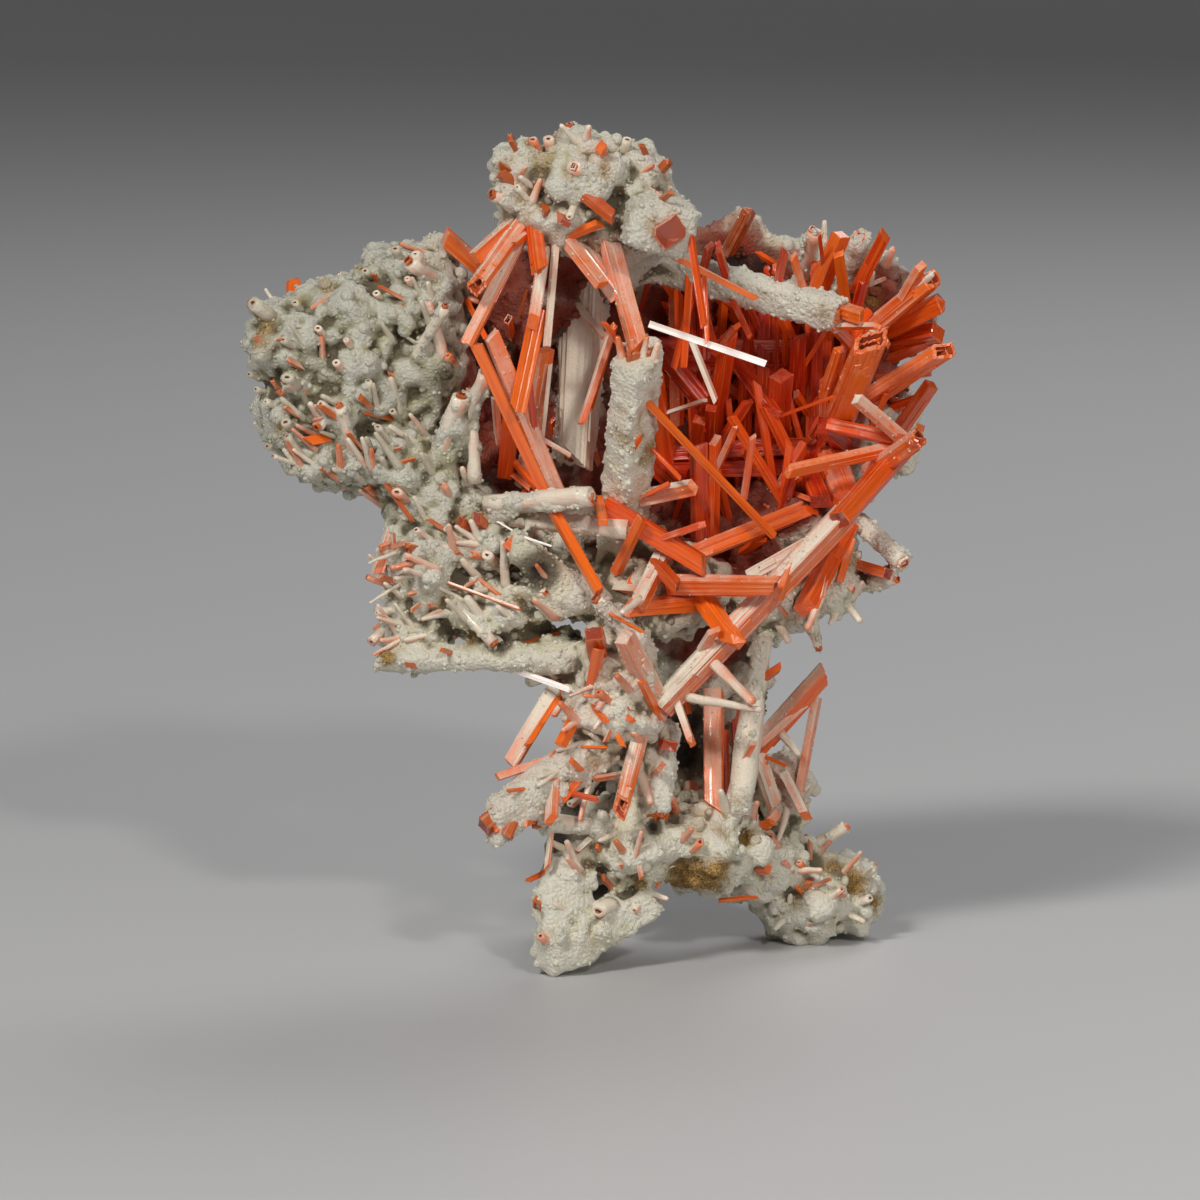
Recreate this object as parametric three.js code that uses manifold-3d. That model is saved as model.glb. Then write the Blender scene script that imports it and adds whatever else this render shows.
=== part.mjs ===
// A crocoite specimen: orange prisms on a pale lumpy matrix with a crown, a left wing, an open bowl, a stem
// and three feet. Millimetres, +Z up, +Y away from the viewer, origin under the middle of the bounding box.
import * as THREE from "three";
import { mergeVertices } from "three/addons/utils/BufferGeometryUtils.js";
import Module from "manifold-3d";

const wasm = await Module();
wasm.setup();

// ---- Driving dimensions --------------------------------------------------------------------------------
// Places are read off the front elevation: a column and a row of its grid, and a depth in millimetres that
// grows away from the viewer. The elevation is drawn from a little above, so depth also lifts a point on it.
const GRID_SQUARE = 0.1;
const VIEW_FALL = THREE.MathUtils.degToRad(8);
const ORIGIN_COLUMN = 598;
const FLOOR_ROW = 959;
const ORIGIN_DEPTH = 6.2;

const SEAT_GAP = 0.3;
const FLOOR_BLOCK = 200;

const THIN_PRISM = 2.5; // mm: under this width a prism has four sides, from there on six
const CORNER_CUT = 0.34; // of the half width, off two opposite corners
const FLATNESS = 0.8;
const USUAL_ROLL = 0.4;
const ROLL_SPREAD = 0.6;
const STEEPEST_END = 0.55;
const HOLLOW_MOUTH = 0.66; // of the prism's half width
const HOLLOW_FLOOR = 0.3;
const HOLLOW_DEPTH = 1.1; // of the prism's width

const RUGGEDNESS = 0.11;
const SMALL_MASS = 7.5; // mm: up to this half width a mass is the coarser ball
const BLUNT = 1.1; // a ball's corners stand this much past the mass's half sizes, so that it holds as much
const KNOB_LENGTH = 1.9; // mm: the spacing of the lumps on a mass
const CORNER_GROWTH = 1.3; // a grown mass's corners go out this much further than its faces need to

// ---- The matrix: masses [column, row, depth, half width, half depth, half height] ----------------------
const LEFT_WING = [
  [300, 346, 3, 5.0, 6.5, 5.4],
  [352, 318, 4, 6.4, 7.5, 5.2],
  [412, 296, 6, 6.6, 8.0, 5.8],
  [298, 408, 2, 4.4, 6.0, 4.8],
  [352, 388, 3, 6.6, 7.5, 6.8],
  [416, 366, 6, 6.6, 8.0, 6.8],
  [332, 452, 1, 4.6, 5.5, 3.8],
  [392, 456, 3, 6.2, 6.5, 5.2],
  [452, 430, 8, 5.6, 6.5, 6.6],
  [432, 502, 2, 5.8, 6.5, 4.6],
];
const SHELF = [
  [430, 560, 0, 4.6, 5.5, 5.0],
  [420, 622, 1, 4.2, 5.0, 4.6],
  [482, 532, 1, 5.4, 5.5, 4.0],
  [494, 612, 0, 6.6, 5.5, 3.4],
  [566, 600, -2, 5.2, 4.5, 2.4],
  [556, 652, -1, 4.4, 4.0, 2.6],
  [540, 560, 7, 6.2, 4.6, 5.4],
];
const CROWN = [
  [522, 180, -3, 3.2, 3.6, 3.4],
  [580, 176, -3, 4.8, 4.8, 4.4],
  [636, 184, -1, 4.0, 4.8, 3.8],
  [550, 222, -2, 5.2, 4.8, 3.4],
  [606, 226, 1, 6.2, 6.6, 4.6],
  [608, 250, 8, 6.6, 6.4, 4.8],
];
const BOWL_WALL = [
  [540, 290, 9, 7.4, 7.0, 5.4],
  [518, 352, 15, 7.0, 5.0, 8.0],
  [520, 444, 14, 7.0, 5.0, 7.6],
  [614, 334, 18, 7.6, 5.0, 8.8],
  [614, 446, 18, 7.6, 5.4, 8.6],
  [706, 310, 20, 7.6, 5.0, 8.4],
  [708, 436, 19, 7.8, 5.4, 9.0],
  [794, 308, 18, 7.2, 5.0, 7.6],
  [792, 430, 17, 7.4, 5.4, 8.4],
  [866, 318, 14, 5.4, 5.0, 6.2],
  [866, 420, 12, 5.4, 5.6, 7.6],
  [604, 528, 12, 7.4, 5.6, 6.4],
  [704, 540, 11, 8.4, 6.8, 7.0],
  [796, 528, 9, 7.0, 6.6, 7.2],
  [832, 584, 4, 2.8, 4.6, 3.6],
  [770, 606, 4, 5.0, 5.6, 4.0],
  [656, 590, 2, 7.4, 6.4, 5.4],
];
const STEM = [
  [618, 660, -4, 4.4, 5.6, 5.4],
  [614, 708, -4, 5.0, 5.6, 4.4],
  [640, 768, -1, 3.4, 5.0, 7.4],
  [706, 668, 9, 6.2, 4.8, 7.0],
  [700, 760, 10, 5.6, 4.4, 7.4],
  [784, 790, 9, 2.8, 3.6, 4.6],
];
const BASE = [
  [632, 846, -1, 5.6, 7.0, 4.6],
  [704, 846, 2, 6.4, 6.8, 5.0],
  [566, 880, -6, 3.0, 3.8, 3.4],
  [556, 930, -8, 2.0, 3.0, 4.6],
  [762, 864, 8, 5.2, 6.0, 4.4],
  [806, 896, 11, 5.6, 6.0, 5.4],
  [850, 894, 13, 3.8, 5.2, 4.4],
  [622, 796, 11, 5.8, 5.4, 8.4],
  [582, 882, 14, 4.2, 4.8, 8.0],
];
const MASSES = [...LEFT_WING, ...SHELF, ...CROWN, ...BOWL_WALL, ...STEM, ...BASE];

// ---- Prisms [column, row, depth, column, row, depth, width]: the root end first, then the free end -----
// These are coated by the crust, and are one piece with the matrix.
const COATED = [
  // wing
  [275, 322, -1, 257, 309, -2, 1.8],
  [440, 285, 2, 412, 266, -1, 1.6],
  [352, 384, 0, 322, 428, -5, 1.4],
  [414, 366, 0, 447, 312, -4, 1.3],
  [424, 490, -1, 463, 400, -5, 1.6],
  [438, 490, -1, 490, 378, -4, 1.6],
  [476, 484, -2, 472, 394, -3, 1.4],
  [360, 470, -2, 344, 410, -5, 1.3],
  [320, 400, -1, 291, 384, -5, 1.6],
  // shelf
  [470, 550, -3, 413, 549, -6, 1.8],
  [500, 588, -3, 545, 592, -7, 1.2],
  [440, 585, -3, 495, 642, -6, 1.3],
  [585, 656, -4, 384, 658, -3, 2.8],
  [585, 600, -5, 512, 542, -6, 3.0],
  [488, 505, -3, 592, 500, -8, 2.0],
  [495, 518, -2, 628, 532, -5, 1.9],
  // crown
  [564, 200, -3, 570, 136, -4, 1.6],
  [600, 206, -2, 575, 178, -8, 1.5],
  [644, 214, 3, 662, 240, -12, 6.4],
  [560, 222, -3, 496, 204, -7, 1.9],
  // blades and bars of the bowl
  [586, 276, 9, 575, 456, 3, 4.4],
  [620, 556, 2, 638, 356, -9, 4.8],
  [652, 264, 8, 836, 318, -2, 3.6],
  [796, 300, 16, 811, 232, 8, 1.4],
  [848, 290, 12, 858, 240, 8, 2.6],
  [806, 600, 2, 817, 647, 0, 1.3],
  [856, 520, 5, 900, 562, 0, 2.2],
  [845, 585, 4, 893, 579, 1, 1.8],
  // stem
  [645, 650, -6, 597, 600, -9, 1.8],
  [668, 722, -2, 655, 812, -6, 3.0],
  [762, 636, 0, 738, 812, -2, 2.2],
  [610, 736, -5, 493, 820, -12, 4.0],
  // back
  [352, 330, 6, 330, 300, 13, 2.0],
  [400, 390, 8, 392, 412, 17, 1.8],
  [540, 420, 14, 512, 400, 23, 2.2],
  [660, 300, 18, 680, 268, 26, 2.4],
  [760, 420, 18, 784, 386, 26, 2.2],
  [700, 560, 12, 724, 590, 21, 2.0],
  // base
  [640, 828, -5, 537, 821, -8, 1.7],
  [590, 838, -4, 540, 900, -9, 2.6],
  [585, 896, -7, 577, 942, -9, 1.9],
  [655, 896, -4, 560, 958, -9, 3.0],
  [620, 895, -2, 600, 908, -8, 2.0],
  [812, 850, 10, 848, 829, 10, 1.2],
];

// The hollow's own crystals lie against its wall and grow into each other.
const BOWL_CRUST = [
  [690, 244, 12, 692, 476, 10, 4.2],
  [764, 250, 11, 764, 476, 9, 4.4],
  [640, 352, 11, 836, 356, 10, 3.2],
  [624, 462, 9, 842, 452, 7, 3.0],
  [822, 300, 10, 818, 466, 8, 3.0],
  [700, 470, 9, 703, 408, 0, 2.6],
  [706, 546, 3, 703, 440, 0, 2.6],
  [738, 262, 12, 751, 203, 8, 2.4],
  [797, 400, 9, 797, 330, 4, 1.8],
  [775, 446, 8, 775, 372, 3, 1.8],
  [712, 440, 10, 733, 328, 1, 1.4],
  [733, 356, 10, 778, 434, 1, 1.6],
  [846, 447, 7, 812, 427, 1, 2.2],
  [800, 452, 7, 822, 510, 0, 1.6],
  [828, 454, 7, 842, 508, 1, 2.2],
  [668, 462, 9, 652, 338, 1, 1.7],
  [662, 352, 10, 712, 415, 1, 1.7],
  [656, 464, 8, 690, 492, 0, 2.0],
];

// The free crystals, by the group that each stands in.
const SPRAYS = {
  crown_heart: [[652, 232, -4, 668, 243, -13, 3.2, true]],
  crown_fan: [
    [605, 232, -3, 637, 352, -9, 2.3],
    [562, 226, -2, 616, 300, -6, 2.2],
    [549, 232, -3, 535, 328, -8, 1.7],
    [540, 316, -6, 520, 412, -9, 2.0],
    [534, 222, -4, 470, 350, -9, 2.0, true],
    [526, 226, -4, 480, 293, -10, 2.6, true],
    [524, 224, -4, 478, 266, -8, 1.8],
    [534, 228, -5, 541, 278, -9, 1.8],
    [556, 232, -4, 602, 292, -8, 1.6],
    [558, 236, -5, 548, 352, -8, 0.9],
  ],
  crown_back_prism: [[505, 290, 6, 447, 241, 3, 2.0]],
  crown_needle: [[668, 262, -8, 753, 304, -5, 0.8]],
  crown_stub: [
    [540, 210, -4, 503, 183, -7, 1.2],
    [604, 178, -3, 601, 158, -8, 1.3],
    [640, 200, -1, 667, 170, -4, 1.2],
  ],
  long_left_pair: [
    [545, 492, -5, 479, 350, -9, 1.4],
    [557, 494, -4, 494, 341, -8, 2.0],
  ],
  dark_plates: [
    [506, 476, 6, 514, 400, 2, 2.0],
    [524, 486, 6, 545, 352, 3, 2.0],
  ],
  inner_prism: [[583, 428, 2, 612, 332, -3, 1.1]],
  bright_crystal: [[648, 330, -8, 762, 369, -9, 1.1]],
  long_needle: [[772, 537, -2, 644, 404, -8, 0.9]],
  lip_cluster: [
    [660, 706, -6, 842, 516, -4, 3.4, true],
    [668, 585, -4, 772, 586, -9, 2.6, true],
    [604, 506, -4, 702, 566, -6, 2.4],
    [598, 500, -3, 603, 524, -9, 1.2],
    [616, 572, -3, 641, 520, -7, 1.4],
    [664, 552, -3, 638, 604, -9, 2.2],
    [704, 602, -2, 628, 608, -8, 2.0],
    [700, 596, -3, 731, 640, -8, 2.4],
    [750, 578, 0, 830, 533, -3, 2.2],
    [812, 507, 4, 688, 556, -3, 2.2],
    [846, 524, 3, 803, 608, -4, 2.6],
    [602, 507, 0, 692, 489, -5, 2.0],
  ],
  left_cross_prism: [[550, 505, -5, 599, 592, -9, 1.5]],
  rim_cluster: [
    [872, 470, 4, 914, 440, -4, 3.2, true],
    [898, 452, 3, 836, 521, -6, 3.2],
    [897, 448, 2, 786, 473, -3, 1.5],
    [906, 446, 0, 853, 402, -3, 1.5],
    [892, 440, 6, 929, 386, 3, 1.8],
  ],
  rim_crystal: [
    [838, 420, 4, 866, 346, -5, 3.6, true],
    [864, 402, 6, 939, 354, -1, 2.7, true],
    [824, 396, 4, 836, 353, -1, 1.5],
    [856, 352, 6, 828, 328, -2, 1.3],
    [812, 304, 2, 857, 321, -4, 2.0],
    [884, 330, 10, 937, 306, 3, 3.2],
    [884, 344, 12, 936, 334, 6, 2.6],
    [866, 334, 8, 928, 283, 2, 3.0, true],
    [856, 290, 8, 882, 239, 3, 1.7],
    [812, 304, 8, 839, 238, 4, 2.2],
    [846, 312, 8, 836, 258, 2, 1.4],
    [846, 562, 4, 885, 574, -1, 1.7],
  ],
  stem_broken_prism: [
    [600, 660, -6, 594, 633, -12, 2.5],
    [590, 694, -7, 599, 648, -11, 1.4],
  ],
  stem_lilac_prism: [
    [662, 712, -5, 624, 636, -11, 2.6],
    [659, 717, -6, 641, 680, -10.5, 1.0],
  ],
  stem_slender_pair: [
    [555, 690, -3, 514, 758, -6, 2.4],
    [566, 684, -3, 529, 742, -7, 0.9],
  ],
  stem_small_prism: [
    [584, 700, -7, 561, 743, -10, 1.4],
    [566, 752, -7, 499, 774, -10, 1.0],
    [596, 756, -6, 561, 798, -10, 1.4],
  ],
  sheath_end_prism: [[520, 796, -10.5, 481, 824, -13.2, 1.9]],
  stem_hollow_prism: [[640, 730, -6, 621, 803, -11, 2.6, true]],
  stem_long_prism: [[713, 690, 4, 713, 806, -2, 2.4]],
  stem_right_prism: [
    [756, 750, 6, 823, 674, 4, 2.5],
    [817, 698, 5, 800, 792, 6, 1.2],
    [784, 772, 5, 806, 816, 4, 1.5],
  ],
};

// Pits in the matrix [column, row, depth, half width, half depth, half height].
const PITS = [
  [697, 879, -6.5, 3.1, 3.6, 2.0],
  [745, 838, -1, 1.3, 3.0, 1.6],
  [857, 886, 7.4, 1.2, 2.6, 2.0],
  [653, 825, -8, 0.9, 2.2, 0.9],
  [502, 640, -6, 1.3, 2.4, 0.7],
  [838, 868, 7, 1.7, 2.2, 0.8],
  [586, 862, -9, 1.2, 3.0, 1.2],
];

// ---- Shapes --------------------------------------------------------------------------------------------
function at(column, row, depth) {
  const up = (FLOOR_ROW - row) * GRID_SQUARE;
  const height = (up - depth * Math.sin(VIEW_FALL)) / Math.cos(VIEW_FALL);
  return new THREE.Vector3((column - ORIGIN_COLUMN) * GRID_SQUARE, depth - ORIGIN_DEPTH, height);
}

function solidOf(geometry) {
  geometry.deleteAttribute("normal");
  geometry.deleteAttribute("uv");
  const merged = mergeVertices(geometry, 1e-4);
  const vertProperties = new Float32Array(merged.attributes.position.array);
  const triVerts = new Uint32Array(merged.index.array);
  return new wasm.Manifold(new wasm.Mesh({ numProp: 3, vertProperties, triVerts }));
}

function geometryOf(solid) {
  const mesh = solid.getMesh();
  const geometry = new THREE.BufferGeometry();
  geometry.setAttribute("position", new THREE.BufferAttribute(mesh.vertProperties, 3));
  geometry.setIndex(new THREE.BufferAttribute(mesh.triVerts, 1));
  return geometry;
}

const joined = (solids) => solids.reduce((whole, solid) => whole.add(solid));
const largestBody = (solid) => solid.decompose().sort((a, b) => b.volume() - a.volume())[0];

// The section is a flattened square; a prism that isn't thin has two opposite corners cut off.
function prismSection(half, sides) {
  const tall = half * FLATNESS;
  const cut = sides === 6 ? half * CORNER_CUT : 0;
  const shape = new THREE.Shape().moveTo(-half, -tall);
  if (cut) shape.lineTo(half - cut, -tall).lineTo(half, -tall + cut);
  else shape.lineTo(half, -tall);
  shape.lineTo(half, tall);
  if (cut) shape.lineTo(-half + cut, tall).lineTo(-half, tall - cut);
  else shape.lineTo(-half, tall);
  return shape;
}

// Turns +Z to the prism's axis, and the section about it by an angle of the prism's own.
function prismTurn(row, axis) {
  const roll = USUAL_ROLL + ROLL_SPREAD * Math.sin(row[0] + 3 * row[1]);
  const turn = new THREE.Quaternion().setFromUnitVectors(new THREE.Vector3(0, 0, 1), axis);
  return turn.multiply(new THREE.Quaternion().setFromAxisAngle(new THREE.Vector3(0, 0, 1), roll));
}

// One prism with a slanted end; grow makes it larger all round, for its seat in what it stands on.
function prism(row, grow = 0) {
  const root = at(...row.slice(0, 3));
  const tip = at(...row.slice(3, 6));
  const width = row[6];
  const length = root.distanceTo(tip);
  const axis = tip.clone().sub(root).normalize();
  const section = prismSection(width / 2 + grow, width < THIN_PRISM ? 4 : 6);
  const geometry = new THREE.ExtrudeGeometry(section, { depth: length + 2 * grow, bevelEnabled: false });
  geometry.translate(0, 0, -grow);
  const slope = STEEPEST_END * Math.cos(row[3] + 2 * row[4]);
  const position = geometry.attributes.position;
  for (let i = 0; i < position.count; i += 1) {
    if (position.getZ(i) > length / 2) position.setZ(i, position.getZ(i) + slope * position.getX(i));
  }
  const place = new THREE.Matrix4().compose(root, prismTurn(row, axis), new THREE.Vector3(1, 1, 1));
  const body = solidOf(geometry.applyMatrix4(place));
  return row[7] && !grow ? body.subtract(hollowEnd(row, length, place)) : body;
}

function hollowEnd(row, length, place) {
  const half = row[6] / 2;
  const deep = 2 * row[6] * HOLLOW_DEPTH;
  const cup = new THREE.CylinderGeometry(half * HOLLOW_MOUTH, half * HOLLOW_FLOOR, deep, 4);
  cup.rotateX(Math.PI / 2).scale(1, FLATNESS, 1).translate(0, 0, length);
  return solidOf(cup.applyMatrix4(place));
}

// How far the crust stands out at a point, from -2 to 2.
function knobAt({ x, y, z }) {
  const across = Math.sin(x / KNOB_LENGTH + 2 * z);
  const along = Math.cos(y / KNOB_LENGTH - 1.3 * z);
  return across * along + Math.sin(z / KNOB_LENGTH);
}

// A rounded mass with the crust's knobs on it, turned by its place so that no two faces line up; grow makes
// it larger all round, to trim what rests on it.
function mass([column, row, depth, halfWide, halfDeep, halfTall], rugged = RUGGEDNESS, grow = 0) {
  const centre = at(column, row, depth);
  const Ball = halfWide > SMALL_MASS ? THREE.DodecahedronGeometry : THREE.IcosahedronGeometry;
  const ball = new Ball(BLUNT, 0).rotateX(row).rotateY(column);
  ball.scale(halfWide, halfDeep, halfTall).translate(centre.x, centre.y, centre.z);
  const position = ball.attributes.position;
  const point = new THREE.Vector3();
  for (let i = 0; i < position.count; i += 1) {
    point.fromBufferAttribute(position, i);
    const reach = point.sub(centre).length() * (1 + rugged * knobAt(point.clone().add(centre)));
    point.setLength(reach + CORNER_GROWTH * grow).add(centre);
    position.setXYZ(i, point.x, point.y, point.z);
  }
  return solidOf(ball);
}

// Everything under the floor, which the feet are cut off at.
function underFloor() {
  const block = new THREE.BoxGeometry(FLOOR_BLOCK, FLOOR_BLOCK, FLOOR_BLOCK);
  return solidOf(block.translate(0, 0, -FLOOR_BLOCK / 2));
}

// ---- Pieces --------------------------------------------------------------------------------------------
function matrix(grow = 0) {
  const masses = joined(MASSES.map((row) => mass(row, RUGGEDNESS, grow)));
  return masses.add(joined(COATED.map((row) => prism(row, grow))));
}

function pits() {
  return joined(PITS.map((row) => mass(row, 0)));
}

// Each free crystal starts where it leaves the bed. Crystals that overlap are joined in one piece, which
// stands under the group name of the first of them.
function crystalPieces(bed) {
  const pieces = [];
  for (const [group, rows] of Object.entries(SPRAYS)) {
    for (const row of rows) {
      const crystal = { group, rows: [row], solid: largestBody(prism(row).subtract(bed)) };
      const touching = pieces.filter((piece) => piece.solid.intersect(crystal.solid).volume() > 0);
      const members = [...touching, crystal];
      for (const piece of touching) pieces.splice(pieces.indexOf(piece), 1);
      pieces.push({
        group: members[0].group,
        rows: members.flatMap((piece) => piece.rows),
        solid: largestBody(joined(members.map((piece) => piece.solid))),
      });
    }
  }
  return pieces;
}

// A group that is one piece gives it its name; the pieces of a larger group are numbered.
function numberPieces(pieces) {
  for (const group of Object.keys(SPRAYS)) {
    const members = pieces.filter((piece) => piece.group === group);
    members.forEach((piece, i) => {
      piece.name = members.length > 1 ? `${group}_${i + 1}` : group;
    });
  }
}

function bowlCrust(bed, pieces) {
  const seats = joined(pieces.flatMap((piece) => piece.rows).map((row) => prism(row, SEAT_GAP)));
  const crust = joined(BOWL_CRUST.map((row) => prism(row)));
  return largestBody(crust.subtract(bed).subtract(seats));
}

// ---- The part ------------------------------------------------------------------------------------------
const GIBBSITE = new THREE.MeshStandardMaterial({ color: "#c9c4b2", roughness: 0.85, metalness: 0 });
const CROCOITE = new THREE.MeshStandardMaterial({ color: "#d9480f", roughness: 0.18, metalness: 0 });
const DEEP_CROCOITE = new THREE.MeshStandardMaterial({ color: "#c5280a", roughness: 0.2, metalness: 0 });

const group = new THREE.Group();
function addPiece(name, solid, material) {
  const mesh = new THREE.Mesh(geometryOf(solid), material.clone());
  mesh.name = name;
  group.add(mesh);
}

const bed = matrix(SEAT_GAP);
const pieces = crystalPieces(bed);
numberPieces(pieces);
addPiece("matrix", largestBody(matrix().subtract(pits()).subtract(underFloor())), GIBBSITE);
addPiece("bowl_crust", bowlCrust(bed, pieces), DEEP_CROCOITE);
for (const piece of pieces) addPiece(piece.name, piece.solid, CROCOITE);

export default group;
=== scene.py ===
# %% [markdown]
# # A crocoite specimen
# Crocoite is lead chromate. It grows as slender orange prisms, and here they spray out of a pale, lumpy
# crust of gibbsite that has coated the older crystals. The solid model gives every large form its place.
# This lesson lays the real surface over it: a beaded crust, ridged crystals with hollow and broken ends,
# and the small stubs and needles between them.

# %% Open the solid model
import math
import random

import bmesh
import bpy
import numpy as np
from mathutils import Matrix, Quaternion, Vector, noise
from mathutils.bvhtree import BVHTree
from mathutils.kdtree import KDTree


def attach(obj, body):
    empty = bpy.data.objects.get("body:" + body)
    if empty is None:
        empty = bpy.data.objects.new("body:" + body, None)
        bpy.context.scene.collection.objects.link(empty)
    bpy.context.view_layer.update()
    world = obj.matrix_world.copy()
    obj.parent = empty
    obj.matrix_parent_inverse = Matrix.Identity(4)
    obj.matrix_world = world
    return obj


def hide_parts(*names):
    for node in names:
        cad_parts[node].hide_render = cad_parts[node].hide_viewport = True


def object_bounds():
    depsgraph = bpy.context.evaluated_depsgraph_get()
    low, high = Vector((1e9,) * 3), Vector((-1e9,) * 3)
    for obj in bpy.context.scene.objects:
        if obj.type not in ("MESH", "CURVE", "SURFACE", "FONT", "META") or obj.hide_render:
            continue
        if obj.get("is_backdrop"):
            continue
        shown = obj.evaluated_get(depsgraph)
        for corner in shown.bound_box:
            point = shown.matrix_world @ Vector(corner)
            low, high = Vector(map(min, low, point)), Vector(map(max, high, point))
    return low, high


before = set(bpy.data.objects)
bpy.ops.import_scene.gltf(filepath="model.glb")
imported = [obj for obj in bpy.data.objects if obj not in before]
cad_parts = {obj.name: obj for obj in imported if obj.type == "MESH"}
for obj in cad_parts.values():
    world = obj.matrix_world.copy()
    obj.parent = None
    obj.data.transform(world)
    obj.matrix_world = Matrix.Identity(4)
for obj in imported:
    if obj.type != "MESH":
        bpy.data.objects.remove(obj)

cad_box = [list(corner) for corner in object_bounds()]
print("solid model:", len(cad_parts), "nodes, box", cad_box)

# %% [markdown]
# ## Where things are
# The specimen was measured on its front elevation, a grid of columns and rows ten squares to the
# millimetre, drawn from eight degrees above the floor. A depth in millimetres, growing away from the
# viewer, is the third number. One helper turns the three into a place, so that every table below can be
# read against that elevation. The tables are written as text, with a semicolon between their rows.

# %% The elevation grid
MM = 0.001
GRID_SQUARE = 0.1
VIEW_FALL = math.radians(8)
ORIGIN_COLUMN = 598
FLOOR_ROW = 959
ORIGIN_DEPTH = 6.2


def at(column, row, depth):
    """A place in metres from a column and row of the elevation and a depth in millimetres."""
    up = (FLOOR_ROW - row) * GRID_SQUARE
    height = (up - depth * math.sin(VIEW_FALL)) / math.cos(VIEW_FALL)
    return Vector(((column - ORIGIN_COLUMN) * GRID_SQUARE, depth - ORIGIN_DEPTH, height)) * MM


def elevation_of(places):
    """The columns, rows and depths of an array of places: the way back from a place in metres."""
    x, y, z = places.T / MM
    depth = y + ORIGIN_DEPTH
    row = FLOOR_ROW - (z * math.cos(VIEW_FALL) + depth * math.sin(VIEW_FALL)) / GRID_SQUARE
    return x / GRID_SQUARE + ORIGIN_COLUMN, row, depth


print("the foot of the elevation is at", tuple(round(c / MM, 2) for c in at(598, 959, ORIGIN_DEPTH)))

# %% Tables that are written as text
def value_of(word):
    """The number that a word stands for, or the word itself."""
    return float(word) if word.strip("-").replace(".", "").isdigit() else word


def table(text):
    """The rows of a table, each a list of numbers and words."""
    return [[value_of(word) for word in row.split()] for row in text.split(";")]


def forms(text):
    """Rows of small forms from lines that start with a kind and a look and go on with their numbers."""
    rows = []
    for line in text.strip().splitlines():
        kind, look, numbers = line.split(maxsplit=2)
        rows += [[*ends, width, kind, look, lean] for *ends, width, lean in table(numbers)]
    return rows


print("one row:", forms("slant bright 466 299 488 343 0.9 4"))

# %% [markdown]
# ## Camera, floor and light
# A long lens from far away keeps the prisms' edges nearly parallel, as a collector's portrait of a small
# specimen does. The floor sweeps up into a wall with a wide bend, so that no horizon line cuts the
# picture. The main light stands high on the left. A small one near the viewer puts a glint on the glossy
# faces, a weak one fills the right, and the fourth picks out the rims from behind.

# %% Camera
FRAME_WIDTH = 0.120
LENS = 250
SENSOR_WIDTH = 36


def placed(name, data):
    """An object with this data, linked to the scene."""
    made = bpy.data.objects.new(name, data)
    bpy.context.scene.collection.objects.link(made)
    return made


camera_data = bpy.data.cameras.new("camera")
camera_data.lens = LENS
camera_data.sensor_width = SENSOR_WIDTH
camera_data.clip_start = 0.01
camera = placed("camera", camera_data)
aim = at(600, 600, ORIGIN_DEPTH)
view_back = Vector((0, -math.cos(VIEW_FALL), math.sin(VIEW_FALL)))
camera.location = aim + view_back * (FRAME_WIDTH * LENS / SENSOR_WIDTH)
camera.rotation_euler = (-view_back).to_track_quat("-Z", "Y").to_euler()
bpy.context.scene.camera = camera
print("camera at", tuple(round(c, 3) for c in camera.location))

# %% Floor
FLOOR_GREY = (0.56, 0.56, 0.57, 1)
QUARTER_TURN = math.pi / 2


def as_object(name, bm):
    """A finished bmesh as an object at the origin."""
    mesh = bpy.data.meshes.new(name)
    bm.to_mesh(mesh)
    bm.free()
    return placed(name, mesh)


def of_kind(kind, parts):
    """The parts of one kind: corners, edges or faces."""
    return [part for part in parts if isinstance(part, kind)]


def sweep(half_width, front, bend_start, bend_radius, wall_top):
    """A floor that bends up into a wall."""
    bm = bmesh.new()
    edge = bm.edges.new([bm.verts.new((x, front, 0)) for x in (-half_width, half_width)])
    strip = bmesh.ops.extrude_edge_only(bm, edges=[edge])["geom"]
    verts = of_kind(bmesh.types.BMVert, strip)
    bmesh.ops.translate(bm, verts=verts, vec=(0, bend_start - front, 0))
    line = [e for e in of_kind(bmesh.types.BMEdge, strip) if all(v in verts for v in e.verts)]
    bend = bmesh.ops.spin(
        bm, geom=line + verts, cent=(0, bend_start, bend_radius), axis=(1, 0, 0), angle=QUARTER_TURN, steps=16
    )["geom_last"]
    wall = bmesh.ops.extrude_edge_only(bm, edges=of_kind(bmesh.types.BMEdge, bend))["geom"]
    bmesh.ops.translate(bm, verts=of_kind(bmesh.types.BMVert, wall), vec=(0, 0, wall_top))
    for face in bm.faces:
        face.smooth = True
    return as_object("floor", bm)


def new_paint(name):
    """A new material, its node tree and its shader."""
    paint = bpy.data.materials.new(name)
    paint.use_nodes = True
    return paint, paint.node_tree, paint.node_tree.nodes["Principled BSDF"]


floor = sweep(half_width=4, front=-3, bend_start=1.2, bend_radius=1.0, wall_top=2)
floor_paint, _, shader = new_paint("pale floor")
shader.inputs["Base Color"].default_value = FLOOR_GREY
shader.inputs["Roughness"].default_value = 0.5
floor.data.materials.append(floor_paint)
floor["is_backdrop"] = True
print("floor faces:", len(floor.data.polygons))

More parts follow.
